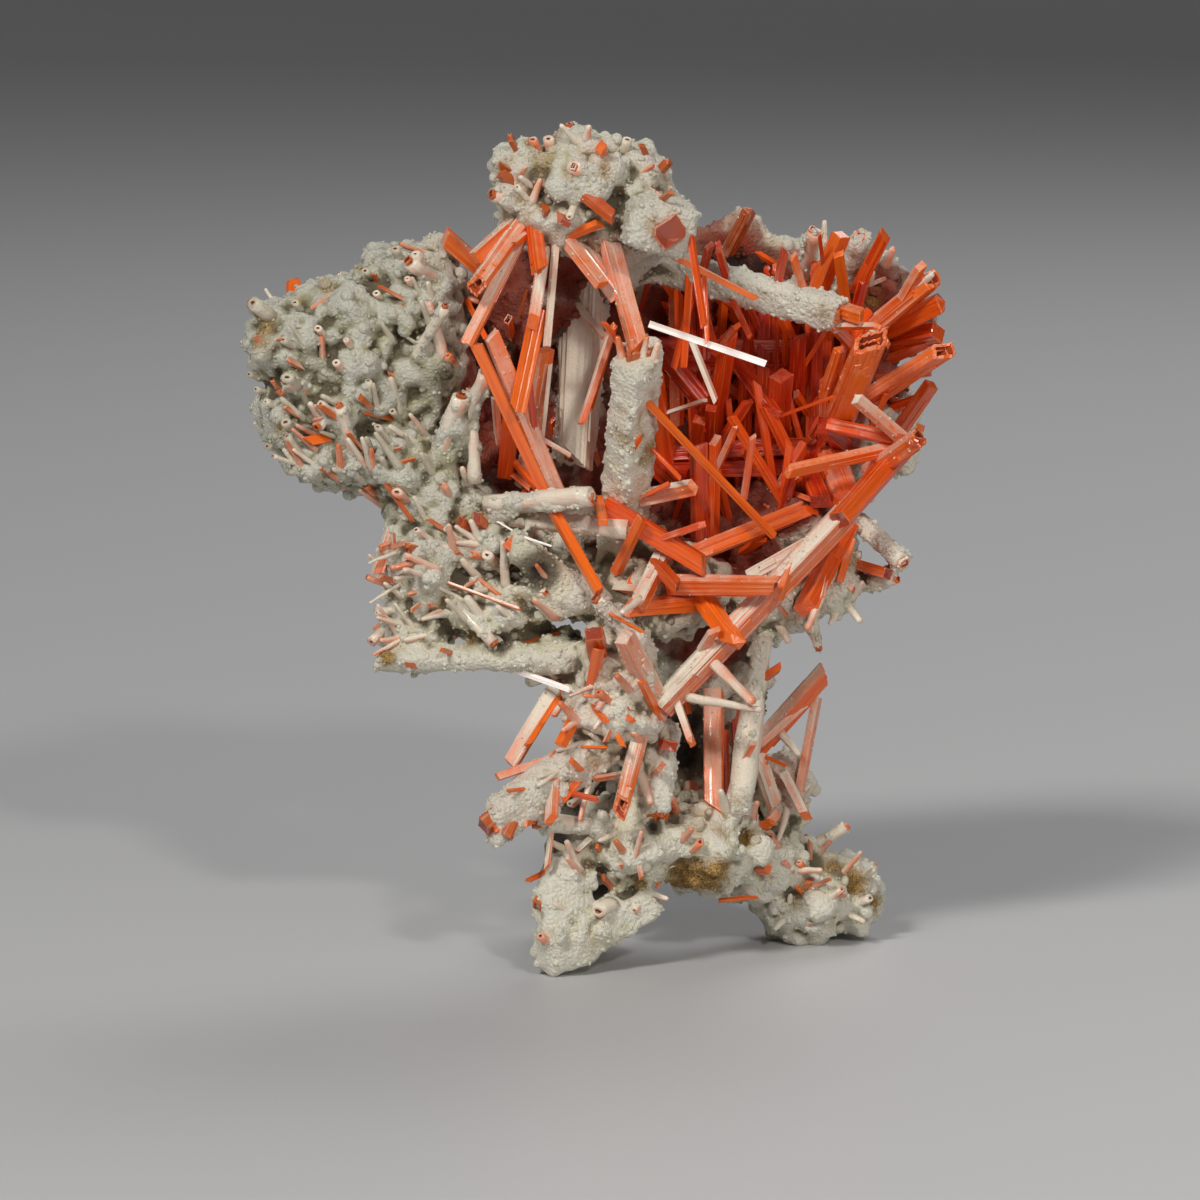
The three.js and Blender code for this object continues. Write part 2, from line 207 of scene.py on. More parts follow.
# %% Lights: place, size, power and tint
LIGHTS = {
    "key light": ((-0.42, -0.72, 0.74), 0.20, 6.9, (1.0, 0.985, 0.95)),
    "glint light": ((0.30, -0.90, 0.55), 0.08, 3.2, (1.0, 0.97, 0.92)),
    "fill light": ((0.65, -0.70, 0.30), 0.50, 0.8, (0.95, 0.98, 1.0)),
    "rim light": ((0.25, 0.55, 0.60), 0.40, 1.8, (1, 1, 1)),
}
WORLD_TINT, WORLD_STRENGTH = (0.85, 0.88, 0.92, 1), 0.068
for name, (place, size, power, tint) in LIGHTS.items():
    light = bpy.data.lights.new(name, "AREA")
    light.size = size
    light.energy = power
    light.color = tint
    lamp = placed(name, light)
    lamp.location = place
    lamp.rotation_euler = (aim - Vector(place)).to_track_quat("-Z", "Y").to_euler()
world = bpy.data.worlds.new("studio")
bpy.context.scene.world = world
world.use_nodes = True
world.node_tree.nodes["Background"].inputs["Color"].default_value = WORLD_TINT
world.node_tree.nodes["Background"].inputs["Strength"].default_value = WORLD_STRENGTH
bpy.context.scene.view_settings.view_transform = "Standard"
print("lights:", list(LIGHTS))

# %% [markdown]
# ## The crust's form
# Gibbsite grows as a skin of tiny balls. The solid model's rounded masses carry the big shapes, so a
# merged copy of that solid is remeshed finely, smoothed until its flat faces are gone, and pushed in and
# out by cell patterns that leave rounded knobs. Lumps and small balls are then strewn on it, and a second
# remesh joins the lot in one skin. A remesh is the simplest way to join thousands of overlapping balls.

# %% Helpers for meshes
def solid_copy(node):
    """A node of the solid model as one closed mesh of its own."""
    bm = bmesh.new()
    bm.from_mesh(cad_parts[node].data)
    bmesh.ops.remove_doubles(bm, verts=bm.verts, dist=1e-6)
    return bm


def modify(made, kind, **settings):
    """Adds a modifier with these settings."""
    modifier = made.modifiers.new(kind.lower(), kind)
    for name, value in settings.items():
        setattr(modifier, name, value)


def applied(made):
    """The object's mesh with its modifiers applied; the object itself goes away."""
    graph = bpy.context.evaluated_depsgraph_get()
    mesh = bpy.data.meshes.new_from_object(made.evaluated_get(graph))
    bpy.data.objects.remove(made)
    return mesh


def one_skin(bm, voxel, softening, rounds):
    """Overlapping shapes as one even skin, softened a little."""
    skin = as_object("skin", bm)
    modify(skin, "REMESH", mode="VOXEL", voxel_size=voxel)
    modify(skin, "SMOOTH", factor=softening, iterations=rounds)
    return applied(skin)


def points_of(mesh):
    """The mesh's points and their normals, in metres."""
    places, normals = (np.empty(len(mesh.vertices) * 3) for _ in range(2))
    mesh.vertices.foreach_get("co", places)
    mesh.vertices.foreach_get("normal", normals)
    return places.reshape(-1, 3), normals.reshape(-1, 3)


def tree_of(*meshes):
    """One search tree of all these meshes' surfaces."""
    bm = bmesh.new()
    for mesh in meshes:
        bm.from_mesh(mesh)
    tree = BVHTree.FromBMesh(bm)
    bm.free()
    return tree


# %% Even skin
even_mesh = one_skin(solid_copy("matrix"), voxel=0.5 * MM, softening=0.5, rounds=4)
print("even skin:", len(even_mesh.vertices), "points")

# %% [markdown]
# ## Coated prisms
# Some of the prisms are crystals that the crust has grown over. Their rows are repeated here from the
# solid model, because their skins take finer balls than the masses do and an orange core shows at their
# broken ends.

# %% Coated prisms: column, row and depth of the root, the same of the tip, width
COATED = table("""
275 322 -1 257 309 -2 1.8; 440 285 2 412 266 -1 1.6; 352 384 0 322 428 -5 1.4; 414 366 0 447 312 -4 1.3;
424 490 -1 463 400 -5 1.6; 438 490 -1 490 378 -4 1.6; 476 484 -2 472 394 -3 1.4; 360 470 -2 344 410 -5 1.3;
320 400 -1 291 384 -5 1.6; 470 550 -3 413 549 -6 1.8; 500 588 -3 545 592 -7 1.2; 440 585 -3 495 642 -6 1.3;
585 656 -4 384 658 -3 2.8; 585 600 -5 512 542 -6 3; 488 505 -3 592 500 -8 2; 495 518 -2 628 532 -5 1.9;
564 200 -3 570 136 -4 1.6; 600 206 -2 575 178 -8 1.5; 644 214 3 662 240 -12 6.4; 560 222 -3 496 204 -7 1.9;
586 276 9 575 456 3 4.4; 620 556 2 638 356 -9 4.8; 652 264 8 836 318 -2 3.6; 796 300 16 811 232 8 1.4;
848 290 12 858 240 8 2.6; 806 600 2 817 647 0 1.3; 856 520 5 900 562 0 2.2; 845 585 4 893 579 1 1.8;
645 650 -6 597 600 -9 1.8; 668 722 -2 655 812 -6 3; 762 636 0 738 812 -2 2.2; 610 736 -5 493 820 -12 4;
352 330 6 330 300 13 2; 400 390 8 392 412 17 1.8; 540 420 14 512 400 23 2.2; 660 300 18 680 268 26 2.4;
760 420 18 784 386 26 2.2; 700 560 12 724 590 21 2; 640 828 -5 537 821 -8 1.7; 590 838 -4 540 900 -9 2.6;
585 896 -7 577 942 -9 1.9; 655 896 -4 560 958 -9 3; 620 895 -2 600 908 -8 2; 812 850 10 848 829 10 1.2
""")


def ends_of(row):
    """The root and the tip of a prism, in metres."""
    return at(*row[:3]), at(*row[3:6])


def prism_nearness(places, rows):
    """For each point, its distance to the nearest prism's axis as a share of that prism's width."""
    nearest = np.full(len(places), np.inf)
    for row in rows:
        root, tip = (np.array(end) for end in ends_of(row))
        along = tip - root
        share = np.clip((places - root) @ along / (along @ along), 0, 1)
        distance = np.linalg.norm(places - root - share[:, None] * along, axis=1)
        nearest = np.minimum(nearest, distance / (row[6] * MM))
    return nearest


on_prism = prism_nearness(points_of(even_mesh)[0], COATED) < 0.9
print("points on coated prisms:", int(on_prism.sum()), "of", len(on_prism))

# %% Knobs: where they are, the size of their cells and their height
KNOBS = [("masses", 3.4 * MM, 1.0 * MM), ("masses", 1.5 * MM, 0.8 * MM), ("prisms", 1.0 * MM, 0.5 * MM)]
STILL_LEVEL = 0.45
rough = placed("rough crust", even_mesh)
for name, chosen in (("masses", ~on_prism), ("prisms", on_prism)):
    rough.vertex_groups.new(name=name).add(np.flatnonzero(chosen).tolist(), 1.0, "REPLACE")
for name, cell_size, height in KNOBS:
    cells = bpy.data.textures.new("knobs", "VORONOI")
    cells.noise_scale = cell_size
    modify(
        rough, "DISPLACE", texture=cells, texture_coords="LOCAL", strength=-height, mid_level=STILL_LEVEL,
        vertex_group=name,
    )
rough_mesh = applied(rough)
rough_tree = tree_of(rough_mesh)
rough_places, rough_normals = points_of(rough_mesh)
print("rough skin:", len(rough_mesh.vertices), "points")

# %% [markdown]
# ## Small forms, read off the elevation
# Between the large prisms stand stubs, needles and splinters a few millimetres long. Most of them wear a
# thin coat of the crust: a tube is broken off and shows a dark core, and a needle is coated to its tip.
# The rest are bare crystals. A row gives where each starts and ends on the elevation, its width, and how
# many millimetres it leans towards the viewer; a ray along the line of sight will find the surface that
# it starts on.

# %% Stubs of the wing and shelf
WING = forms("""
tube coated 275 320 258 308 1.9 2; 306 316 300 308 0.9 2; 328 340 322 332 1 2; 347 374 341 367 1.1 2
tube coated 384 303 379 297 1 2; 375 281 368 275 1.1 2; 416 290 410 283 1 2; 425 274 418 259 1.4 2
tube coated 301 391 293 382 1.6 3; 296 431 290 424 1.2 2; 264 381 253 377 1 1; 270 394 259 391 1 1
tube coated 280 409 270 404 1.1 1; 457 369 450 360 1.4 3; 368 483 357 475 1.1 2; 377 495 368 486 1 2
tube coated 402 422 395 414 0.9 3; 409 503 400 494 1.3 3; 402 263 397 252 1.1 1; 300 352 288 344 1 2
tube coated 282 452 270 448 1 1; 356 352 350 344 0.9 2
needle coated 436 281 410 270 1.1 2; 446 363 432 309 1.5 2; 434 333 424 306 0.9 2; 434 355 409 341 0.9 1
needle coated 311 424 287 402 1.3 2; 340 439 325 434 0.8 2; 381 414 376 387 0.9 2; 346 438 320 409 1 2
needle coated 351 452 343 407 1.1 3; 420 446 393 429 1 3; 431 441 413 417 0.8 3; 404 472 380 438 1.3 3
needle coated 347 486 325 458 1 2; 328 488 302 475 0.8 1; 303 469 289 452 1 1; 370 470 352 442 1 3
needle coated 310 350 296 330 1 1; 396 346 384 326 1.2 1; 384 506 362 490 1 2; 436 478 424 456 1.1 3
slant rust 344 277 309 302 1 1; 386 482 415 522 0.8 3
slant tan 353 287 314 313 0.8 1; 314 379 283 397 1.1 2; 372 458 352 436 0.8 3; 412 446 398 452 0.7 3
slant tan 330 420 318 424 0.7 2; 352 492 330 478 0.7 2
hollow bright 335 439 312 444 1.6 2
hollow rust 408 422 362 411 1.5 4
hollow salmon 447 401 390 378 1.5 5
slant amber 425 458 402 465 0.8 2; 380 287 377 278 0.8 1; 300 444 291 456 0.7 1
""")
SHELF = forms("""
slant pink 394 530 380 573 2.2 1
slant tan 399 572 397 534 0.6 2; 440 604 432 606 0.9 1; 470 560 458 552 0.8 2; 426 600 414 610 0.7 1
needle coated 429 523 417 499 0.8 2; 507 588 505 544 1.3 3; 503 643 469 599 1.3 3; 436 470 426 458 1.1 2
needle coated 405 597 388 584 1 2; 432 634 408 640 1.1 1; 470 621 449 599 0.9 3; 422 560 395 567 1.2 1
needle coated 454 566 436 575 0.8 2; 486 576 468 589 0.9 3; 521 623 499 605 1.1 2; 557 617 535 599 1.4 3
needle coated 400 540 384 548 1 1; 470 488 464 470 1.2 2; 446 610 424 618 0.9 2; 518 572 512 556 0.9 2
needle coated 548 580 538 566 1 2
tube coated 497 563 489 556 1.5 3; 396 612 379 612 1.3 1; 453 500 446 487 1 2; 386 629 372 641 1.3 1
tube coated 434 541 419 531 0.9 2; 416 572 398 580 0.9 1; 460 540 448 530 1 2
slant amber 447 582 521 609 0.7 3; 477 577 501 596 0.8 3; 420 592 412 594 0.9 1; 454 653 444 649 1 3
slant amber 420 666 410 664 1 2; 534 637 546 657 0.8 3
slant rust 562 632 514 648 1 4
broken brown 472 532 462 523 1.6 2; 488 528 479 519 1.5 2
slant gleam 495 520 528 540 0.35 4; 522 537 552 547 0.35 4
""")
print("wing and shelf:", len(WING), "and", len(SHELF))

# %% Stubs of the crown, splinters of the hollow and its rim
CROWN = forms("""
tube coated 530 210 519 197 1.1 2; 513 218 502 208 1.1 2; 540 160 534 149 1.2 1; 552 160 549 148 1.4 1
tube coated 622 162 627 149 1.2 1; 574 214 570 226 1 3
broken brown 586 204 613 227 1.9 3; 560 222 566 232 1.4 2
broken rust 544 210 548 222 1.2 2
slant bright 568 244 600 231 1.6 1; 640 191 659 203 0.5 1
slant cream 509 248 513 228 0.5 2
slant rust 520 162 512 148 1.2 1; 514 182 502 175 1.2 1; 646 166 641 155 1.1 1; 658 212 669 204 1.1 1
needle coated 586 152 590 139 1.3 1; 534 196 522 186 1 2; 640 182 652 176 1.1 1; 622 366 617 344 1.1 0
needle coated 632 366 631 346 1.2 0; 642 366 644 344 1.1 0; 652 368 656 350 1.1 0
slant salmon 530 240 517 252 1.3 3
""")
BOWL = forms("""
slant bright 466 299 488 343 0.9 4; 702 278 705 348 0.7 2; 531 479 517 508 1 2; 649 449 679 481 0.6 3
slant bright 785 366 785 330 0.8 3; 774 419 831 399 0.5 4; 774 499 816 511 1.2 2; 790 430 762 404 1 3
slant bright 730 560 760 540 1.2 3; 640 560 628 590 1 2; 736 330 722 398 0.8 6
slant cream 551 362 543 441 0.8 4; 544 442 571 458 0.6 2; 496 371 509 354 0.8 2; 664 415 704 402 0.7 3
hollow salmon 512 338 509 322 1.4 3
slant rust 529 288 519 322 0.4 2
slant pink 574 303 606 342 1 3; 667 369 691 401 0.7 3; 689 344 713 406 0.9 3; 716 470 734 430 1.2 3
slant pink 600 470 590 430 0.8 2; 500 450 496 400 1.2 2
slant salmon 612 334 582 426 1 3; 822 270 817 238 0.6 3; 770 492 799 477 1.2 3; 742 500 750 440 1 3
slant salmon 720 350 735 330 1 4; 620 352 604 330 0.8 3
slant orange 687 240 701 334 1 3; 826 426 902 442 2.4 1; 785 490 811 501 1 3; 762 480 742 452 0.8 3
slant orange 800 372 822 336 0.9 3; 620 470 640 440 0.8 2; 660 540 700 526 1.2 3; 490 330 500 300 1 2
slant orange 640 500 668 486 0.9 3
hollow bright 514 462 536 486 1 2
hollow orange 512 474 533 491 1 2
slant deep 815 400 815 330 1.6 3; 726 282 716 252 1.4 2
slant red 700 282 708 250 1.2 2; 776 286 782 256 1.2 2; 664 300 684 330 1 2; 730 300 748 340 0.9 3
slant red 652 420 640 380 0.9 3; 728 520 716 470 1.2 3; 760 330 746 300 1 2; 674 520 690 470 1 3
slant red 560 470 552 420 1 2; 536 440 530 380 1 2
""")
RIM = forms("""
slant orange 830 340 829 328 1 3; 870 430 884 396 1.2 3; 850 540 838 580 1.4 2; 790 560 776 600 1.2 2
slant salmon 832 330 872 331 1 3; 870 330 886 347 1 3; 900 300 917 270 1.6 2; 800 292 790 262 1.2 2
broken brown 896 440 911 444 1.8 4; 800 448 810 438 1.2 2
slant red 888 360 926 344 1.4 3; 876 380 930 372 1.4 3
slant deep 890 410 926 396 1.6 2
needle coated 856 480 872 500 1.4 2; 862 548 880 556 1.3 2; 820 590 806 628 1.3 2; 884 268 894 250 1.4 1
needle coated 914 290 927 278 1.2 1; 870 278 862 262 1.6 1; 776 622 786 640 1.2 1; 850 600 862 584 1.1 1
needle coated 834 612 828 622 1.2 1
slant pink 826 560 818 600 1 2
tube coated 868 560 871 566 1.6 1
""")
print("crown, bowl and rim:", len(CROWN), len(BOWL), len(RIM))

# %% Stubs of the stem and base
STEM = forms("""
slant gleam 520 671 569 688 0.8 3
slant salmon 562 686 592 698 0.7 3; 554 776 552 816 1.7 1; 690 760 684 812 1.2 1; 690 720 684 690 1 2
slant bright 574 677 591 701 0.8 2; 589 699 606 719 0.9 2; 626 714 632 719 0.9 1; 616 731 623 744 0.8 1
slant bright 574 745 607 745 0.5 2; 532 785 509 787 0.5 2; 761 755 786 766 0.6 2; 607 612 641 631 0.5 5
slant bright 534 817 527 820 0.9 1
slant red 570 790 598 796 0.8 2; 724 730 726 800 1.2 1
needle coated 711 661 749 699 1.4 4; 684 695 756 706 1.3 4; 712 676 718 668 1.2 2; 736 664 749 686 1 2
needle coated 779 731 798 753 1.2 1; 790 804 779 841 1.1 2; 640 770 650 800 1.2 2; 580 722 560 700 1.3 2
needle coated 600 778 588 796 1.1 1; 560 766 540 782 1.1 2; 640 600 622 612 1.2 3; 630 690 618 676 1.2 3
needle coated 556 800 532 808 1 1; 676 812 670 796 1.2 2; 726 812 720 790 1.4 2; 750 820 756 802 1.4 1
broken brown 762 678 778 667 1.4 0; 654 563 676 587 2 3; 662 742 669 744 2 2
slant rust 700 779 703 827 0.7 3
slant deep 735 708 740 782 1.4 1
slant pink 806 704 759 746 1.2 1; 614 588 641 590 1.4 3; 552 826 548 863 0.8 1; 676 700 690 740 1.4 1
slant pink 700 650 712 630 1.4 2; 654 770 660 764 1.2 2; 742 760 752 742 1 1; 770 780 764 764 1.2 1
hollow coated 758 754 775 806 2 1
slant coated 808 784 767 826 1.6 2
broken umber 513 821 508 832 2.4 0.5
tube coated 612 702 598 690 1.1 2; 600 740 590 730 1 2; 640 740 634 728 1.2 2
slant orange 584 770 572 758 0.9 2
""")
BASE = forms("""
slant bright 584 851 529 877 0.9 3; 656 820 654 810 1 1; 664 818 667 808 0.9 1; 773 896 719 901 0.8 2
slant bright 669 869 656 884 0.6 2
slant orange 600 850 597 843 0.8 1; 626 868 620 861 0.8 1; 804 896 798 888 0.9 1
tube coated 612 900 599 909 1.9 3; 778 848 769 838 1.3 2; 806 872 799 862 1.1 2; 832 900 842 890 1.1 1
tube coated 808 930 812 922 1.1 1; 690 850 700 840 1.1 2; 640 900 634 908 1.1 1; 550 938 541 930 1.1 1
tube coated 792 872 784 862 1 2; 860 906 872 900 1.2 1
needle coated 866 880 877 873 1.1 1; 850 916 865 923 1.1 1; 740 832 752 820 1.3 2; 568 908 556 900 1.1 1
needle coated 820 858 832 844 1.1 1; 786 920 776 930 1.1 1; 680 840 690 826 1.2 2; 624 850 616 838 1.2 2
needle coated 600 870 590 858 1 2; 840 850 850 838 1.2 1
""")
print("stem and base:", len(STEM), "and", len(BASE))

# %% Single lumps: column, row, radius, and for those of the hollow's far edge a depth
LUMPS = table("""
419 294 1.4; 349 302 1.2; 374 260 0.9; 397 253 0.8; 408 248 0.8; 432 246 1; 444 250 0.9; 346 273 0.9;
269 298 0.9; 282 299 0.8; 285 465 1.2; 405 480 1.5; 458 428 1.2; 388 318 1.3; 330 318 1.1; 312 342 1.2;
362 340 1.4; 400 318 1.1; 440 480 1.2; 460 478 1.1; 452 456 1; 436 300 1.2; 406 372 1.3; 372 366 1.1;
410 482 1.2; 480 500 1; 440 520 1.2; 378 638 1.2; 376 654 1; 420 540 1.2; 527 160 1.5; 612 180 1.7;
590 156 1.1; 640 170 1.3; 560 196 1.4; 578 144 1; 540 190 1.2; 634 200 1.2; 650 186 1; 512 196 1;
600 200 1.2; 566 160 1.1; 790 246 1.3; 870 284 1.3; 905 268 1.2; 884 256 1; 920 284 0.9; 856 248 1.1;
800 286 1.3; 770 610 1.1; 790 616 1; 850 520 1.3; 860 500 1; 846 560 1.2; 812 760 1.1; 787 765 1; 868 562 1;
636 640 1.2; 612 640 1.1; 630 660 1.2; 584 712 1.2; 610 724 1.3; 640 700 1.2; 560 790 1.1; 690 830 1.6;
720 850 1.5; 650 850 1.3; 620 880 1.2; 760 850 1.5; 780 880 1.3; 810 850 1.3; 836 880 1.2; 820 910 1.4;
856 900 1.1; 790 920 1.2; 570 950 1; 600 930 1.1; 550 900 0.9; 740 800 1.2; 700 800 1.2; 670 890 1.1;
730 896 1.1; 500 812 1; 600 820 1.2
""")
RIM_EDGE = table("""
712 238 1.5 18; 724 232 1.6 18; 736 226 1.7 17.8; 748 225 1.7 17.6; 758 236 1.6 17.8; 770 245 1.5 17.4;
784 244 1.3 17.6; 732 242 1.8 17.2; 752 244 1.8 17.2; 742 214 1 17.6; 886 266 1.5 12.8; 898 277 1.5 14.6;
909 288 1.5 14.2; 919 300 1.5 13.6; 927 313 1.4 13
""")
print("lumps:", len(LUMPS + RIM_EDGE))

# %% Regions where needles stand too thick to list [column, row, half wide, half high, how many, lean, way]
THICKETS = [
    [350, 440, 64, 44, 30, 2.2, (-0.6, 0.7)], [440, 590, 66, 60, 34, 2.0, (-0.7, 0.2)],
    [580, 190, 66, 36, 4, 1.0, (-0.2, 0.5)], [300, 360, 34, 50, 6, 1.0, (-0.6, 0.4)],
    [600, 740, 50, 60, 20, 2.0, (-0.7, -0.4)], [620, 860, 60, 34, 12, 1.5, (-0.4, 0.2)],
    [806, 890, 50, 40, 8, 1.2, (0.4, 0.4)], [810, 600, 46, 40, 10, 1.5, (0.4, -0.5)],
    [440, 290, 34, 34, 6, 1.0, (-0.3, 0.5)], [860, 270, 50, 24, 5, 1.0, (0.3, 0.7)],
]
THICKET_KINDS = 4 * [("needle", "coated")] + [("tube", "coated"), ("slant", "tan")]


def inside_ellipse(column, row, wide, high, dice):
    """A random column and row inside an ellipse."""
    angle = dice.uniform(0, 2 * math.pi)
    reach = math.sqrt(dice.random())
    return column + wide * reach * math.cos(angle), row + high * reach * math.sin(angle)


def thicket_rows():
    """Rows in the small forms' own format, drawn at random inside the regions."""
    rows = []
    for column, row, wide, high, count, lean, way in THICKETS:
        dice = random.Random(column + row)
        for _ in range(count):
            c, r = inside_ellipse(column, row, wide, high, dice)
            length = dice.uniform(14, 38)
            dc = way[0] + dice.uniform(-0.6, 0.6)
            dr = -way[1] + dice.uniform(-0.6, 0.6)
            kind, look = dice.choice(THICKET_KINDS)
            size = length / max(math.hypot(dc, dr), 0.3)
            width = dice.uniform(0.7, 1.2)
            rows.append([c, r, c + dc * size, r + dr * size, width, kind, look, lean + dice.uniform(-1, 1)])
    return rows


print("stubs of the thickets:", len(thicket_rows()))

# %% [markdown]
# ## Lumps and balls
# The balls are copies of one small sphere. A lump that stands out is one large ball with small ones on
# it, placed by a ray along the line of sight. Some thousands more lie at random on the masses, and the
# finest along the coated prisms. The places of the back's stubs are drawn here as well, on the same skin.

# %% Seating by a line of sight
ROOT_SUNK = 0.6
TUBE_LEAN = 0.5
CRUST_LEAN = 0.6


def surface_depth(column, row, tree, usual=0.0):
    """The depth of the first surface on a line of sight."""
    start = at(column, row, -60)
    hit = tree.ray_cast(start, (at(column, row, 0) - start).normalized())[0]
    return usual if hit is None else hit.y / MM + ORIGIN_DEPTH


def stub_ends(row, tree):
    """Root and tip of a small form: the root a little inside the surface, the tip towards the viewer."""
    c0, r0, c1, r1, _, kind, _, lean = row
    depth = surface_depth(c0, r0, tree, None)
    if depth is None:
        print("nothing to stand on:", [round(n) for n in row[:4]])
        return None
    if kind == "tube":
        lean *= TUBE_LEAN
    elif tree is crust_tree:
        lean *= CRUST_LEAN
    return at(c0, r0, depth + ROOT_SUNK), at(c1, r1, depth - lean)


print("the shelf's surface at its middle is at depth", round(surface_depth(440, 560, rough_tree), 2))

# %% Where the back's stubs stand
BACK_STUBS = 150
BACK_LEAN = 0.6
LOWEST_STUB = 4 * MM
FOREMOST_STUB = -6 * MM


def any_way(dice):
    """A random vector, each part between -1 and 1."""
    return Vector([dice.uniform(-1, 1) for _ in range(3)])


seeded = np.random.RandomState(5)
away_side = (rough_normals[:, 1] > 0.15) | (np.abs(rough_normals[:, 0]) > 0.8)
away_side &= (rough_places[:, 2] > LOWEST_STUB) & (rough_places[:, 1] > FOREMOST_STUB) & ~on_prism
back_stubs = []
for i, pick in enumerate(seeded.choice(np.flatnonzero(away_side), BACK_STUBS)):
    dice = random.Random(900 + i)
    spot = Vector(rough_places[pick])
    lean = (Vector(rough_normals[pick]) + BACK_LEAN * any_way(dice)).normalized()
    width = dice.uniform(0.7, 1.5)
    kind = dice.choice(["tube", "needle", "needle", "slant"])
    back_stubs.append((spot - lean * MM, spot + lean * dice.uniform(0.5, 2.0) * MM, width, kind))
print("stubs of the back:", len(back_stubs))

# %% Single lumps
BALLS_ON_A_LUMP = 14
lump_places, lump_sizes = [], []
for column, row, size, *depth in LUMPS + RIM_EDGE:
    depth = depth[0] if depth else surface_depth(column, row, rough_tree, None)
    if depth is None:
        continue
    dice = random.Random(int(column + row))
    middle = at(column, row, depth + size * 0.35)
    lump_places.append(middle)
    lump_sizes.append(size * MM)
    for _ in range(BALLS_ON_A_LUMP):
        lump_places.append(middle + any_way(dice).normalized() * size * 0.82 * MM)
        lump_sizes.append(size * dice.uniform(0.22, 0.40) * MM)
print("lumps:", len(lump_places) // (BALLS_ON_A_LUMP + 1), "of", len(LUMPS + RIM_EDGE))

# %% Strewn balls
MASS_KNOBS = 3200
MASS_GRAINS = 4200
PRISM_GRAINS = 3600


def strewn(template, places, sizes, name):
    """Copies of one small shape, each at its own place and size, in one mesh."""
    template.verts.ensure_lookup_table()
    shape = np.array([v.co[:] for v in template.verts])
    corners = np.array([[v.index for v in f.verts] for f in template.faces])
    points = (shape[None] * sizes[:, None, None] + places[:, None]).reshape(-1, 3)
    firsts = np.arange(len(places)) * len(shape)
    faces = (corners[None] + firsts[:, None, None]).reshape(-1, corners.shape[1])
    mesh = bpy.data.meshes.new(name)
    mesh.from_pydata(points.tolist(), [], faces.tolist())
    return mesh


def ball(subdivisions=2):
    """A sphere of radius 1 to be copied."""
    bm = bmesh.new()
    bmesh.ops.create_icosphere(bm, subdivisions=subdivisions, radius=1)
    bm.verts.index_update()
    return bm


def balls_on(chosen, count, smallest, largest, sunk):
    """Places just under the skin at random points, with random sizes, most of them small."""
    picks = seeded.choice(np.flatnonzero(chosen), count)
    sizes = (smallest + (largest - smallest) * seeded.rand(count) ** 2) * MM
    return rough_places[picks] - rough_normals[picks] * (sizes * sunk)[:, None], sizes


populations = [
    balls_on(~on_prism, MASS_KNOBS, 0.45, 1.05, 0.15),
    balls_on(~on_prism, MASS_GRAINS, 0.28, 0.48, -0.1),
    balls_on(on_prism, PRISM_GRAINS, 0.24, 0.46, 0.10),
    (np.array(lump_places), np.array(lump_sizes)),
]
balls = [strewn(ball(), *population, "balls") for population in populations]
print("balls:", [len(sizes) for _, sizes in populations])

# %% The one skin
MOST_TRIANGLES = 194000
together = bmesh.new()
for mesh in (rough_mesh, *balls):
    together.from_mesh(mesh)
crust_mesh = one_skin(together, voxel=0.34 * MM, softening=0.35, rounds=1)
triangles = 2 * len(crust_mesh.polygons)
if triangles > MOST_TRIANGLES:
    thin = placed("thin", crust_mesh)
    modify(thin, "DECIMATE", ratio=MOST_TRIANGLES / triangles)
    crust_mesh = applied(thin)


def cut_at_floor(bm):
    """Cuts off what lies under the floor and closes the cut."""
    cut = bmesh.ops.bisect_plane(
        bm, geom=bm.verts[:] + bm.edges[:] + bm.faces[:], dist=1e-7, plane_co=(0, 0, 1e-6),
        plane_no=(0, 0, -1), clear_outer=True,
    )["geom_cut"]
    bmesh.ops.holes_fill(bm, edges=of_kind(bmesh.types.BMEdge, cut))


bm = bmesh.new()
bm.from_mesh(crust_mesh)
cut_at_floor(bm)
for face in bm.faces:
    face.smooth = True
crust = as_object("crust", bm)
crust_tree = tree_of(crust.data)
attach(crust, "root")
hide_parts("matrix")
print("crust:", len(crust.data.polygons), "faces from", triangles, "triangles")

# %% [markdown]
# ## Shading tools
# The materials share a few effects: streaks that run along a prism, and grit for whatever is frosted or
# crusted. Each is a node group that gives out values, so that a material can feed them to a colour, a
# roughness or a bump. A short helper places a node and wires it in one line.

# %% Node helpers
def wired(tree, kind, feeds=(), **settings):
    """A new node with its settings; feeds gives the value or the socket for each input."""
    node = tree.nodes.new(kind)
    for name, value in settings.items():
        setattr(node, name, value)
    for key, value in dict(feeds).items():
        if isinstance(value, bpy.types.NodeSocket):
            tree.links.new(value, node.inputs[key])
        else:
            node.inputs[key].default_value = value
    return node


def math_node(operation):
    """A function that places a node for one operation on two values."""
    def place(tree, first, second, clamp=False):
        feeds = {0: first, 1: second}
        return wired(tree, "ShaderNodeMath", feeds, operation=operation, use_clamp=clamp).outputs[0]

    return place


plus, minus, times = (math_node(operation) for operation in ("ADD", "SUBTRACT", "MULTIPLY"))


def mixed(tree, factor, first, second):
    """One colour over another."""
    return wired(tree, "ShaderNodeMix", {0: factor, 6: first, 7: second}, data_type="RGBA").outputs[2]


def ranged(tree, value, low, high, to_low=0.0, to_high=1.0):
    """The value's span from low to high, spread smoothly over another span."""
    feeds = {"Value": value, "From Min": low, "From Max": high, "To Min": to_low, "To Max": to_high}
    return wired(tree, "ShaderNodeMapRange", feeds, interpolation_type="SMOOTHSTEP").outputs[0]


def layered(tree, body, layers):
    """A colour under layers of others; each has a value, its span, the shares at its ends and a colour."""
    for value, low, high, share_low, share_high, colour in layers:
        body = mixed(tree, ranged(tree, value, low, high, share_low, share_high), body, colour)
    return body


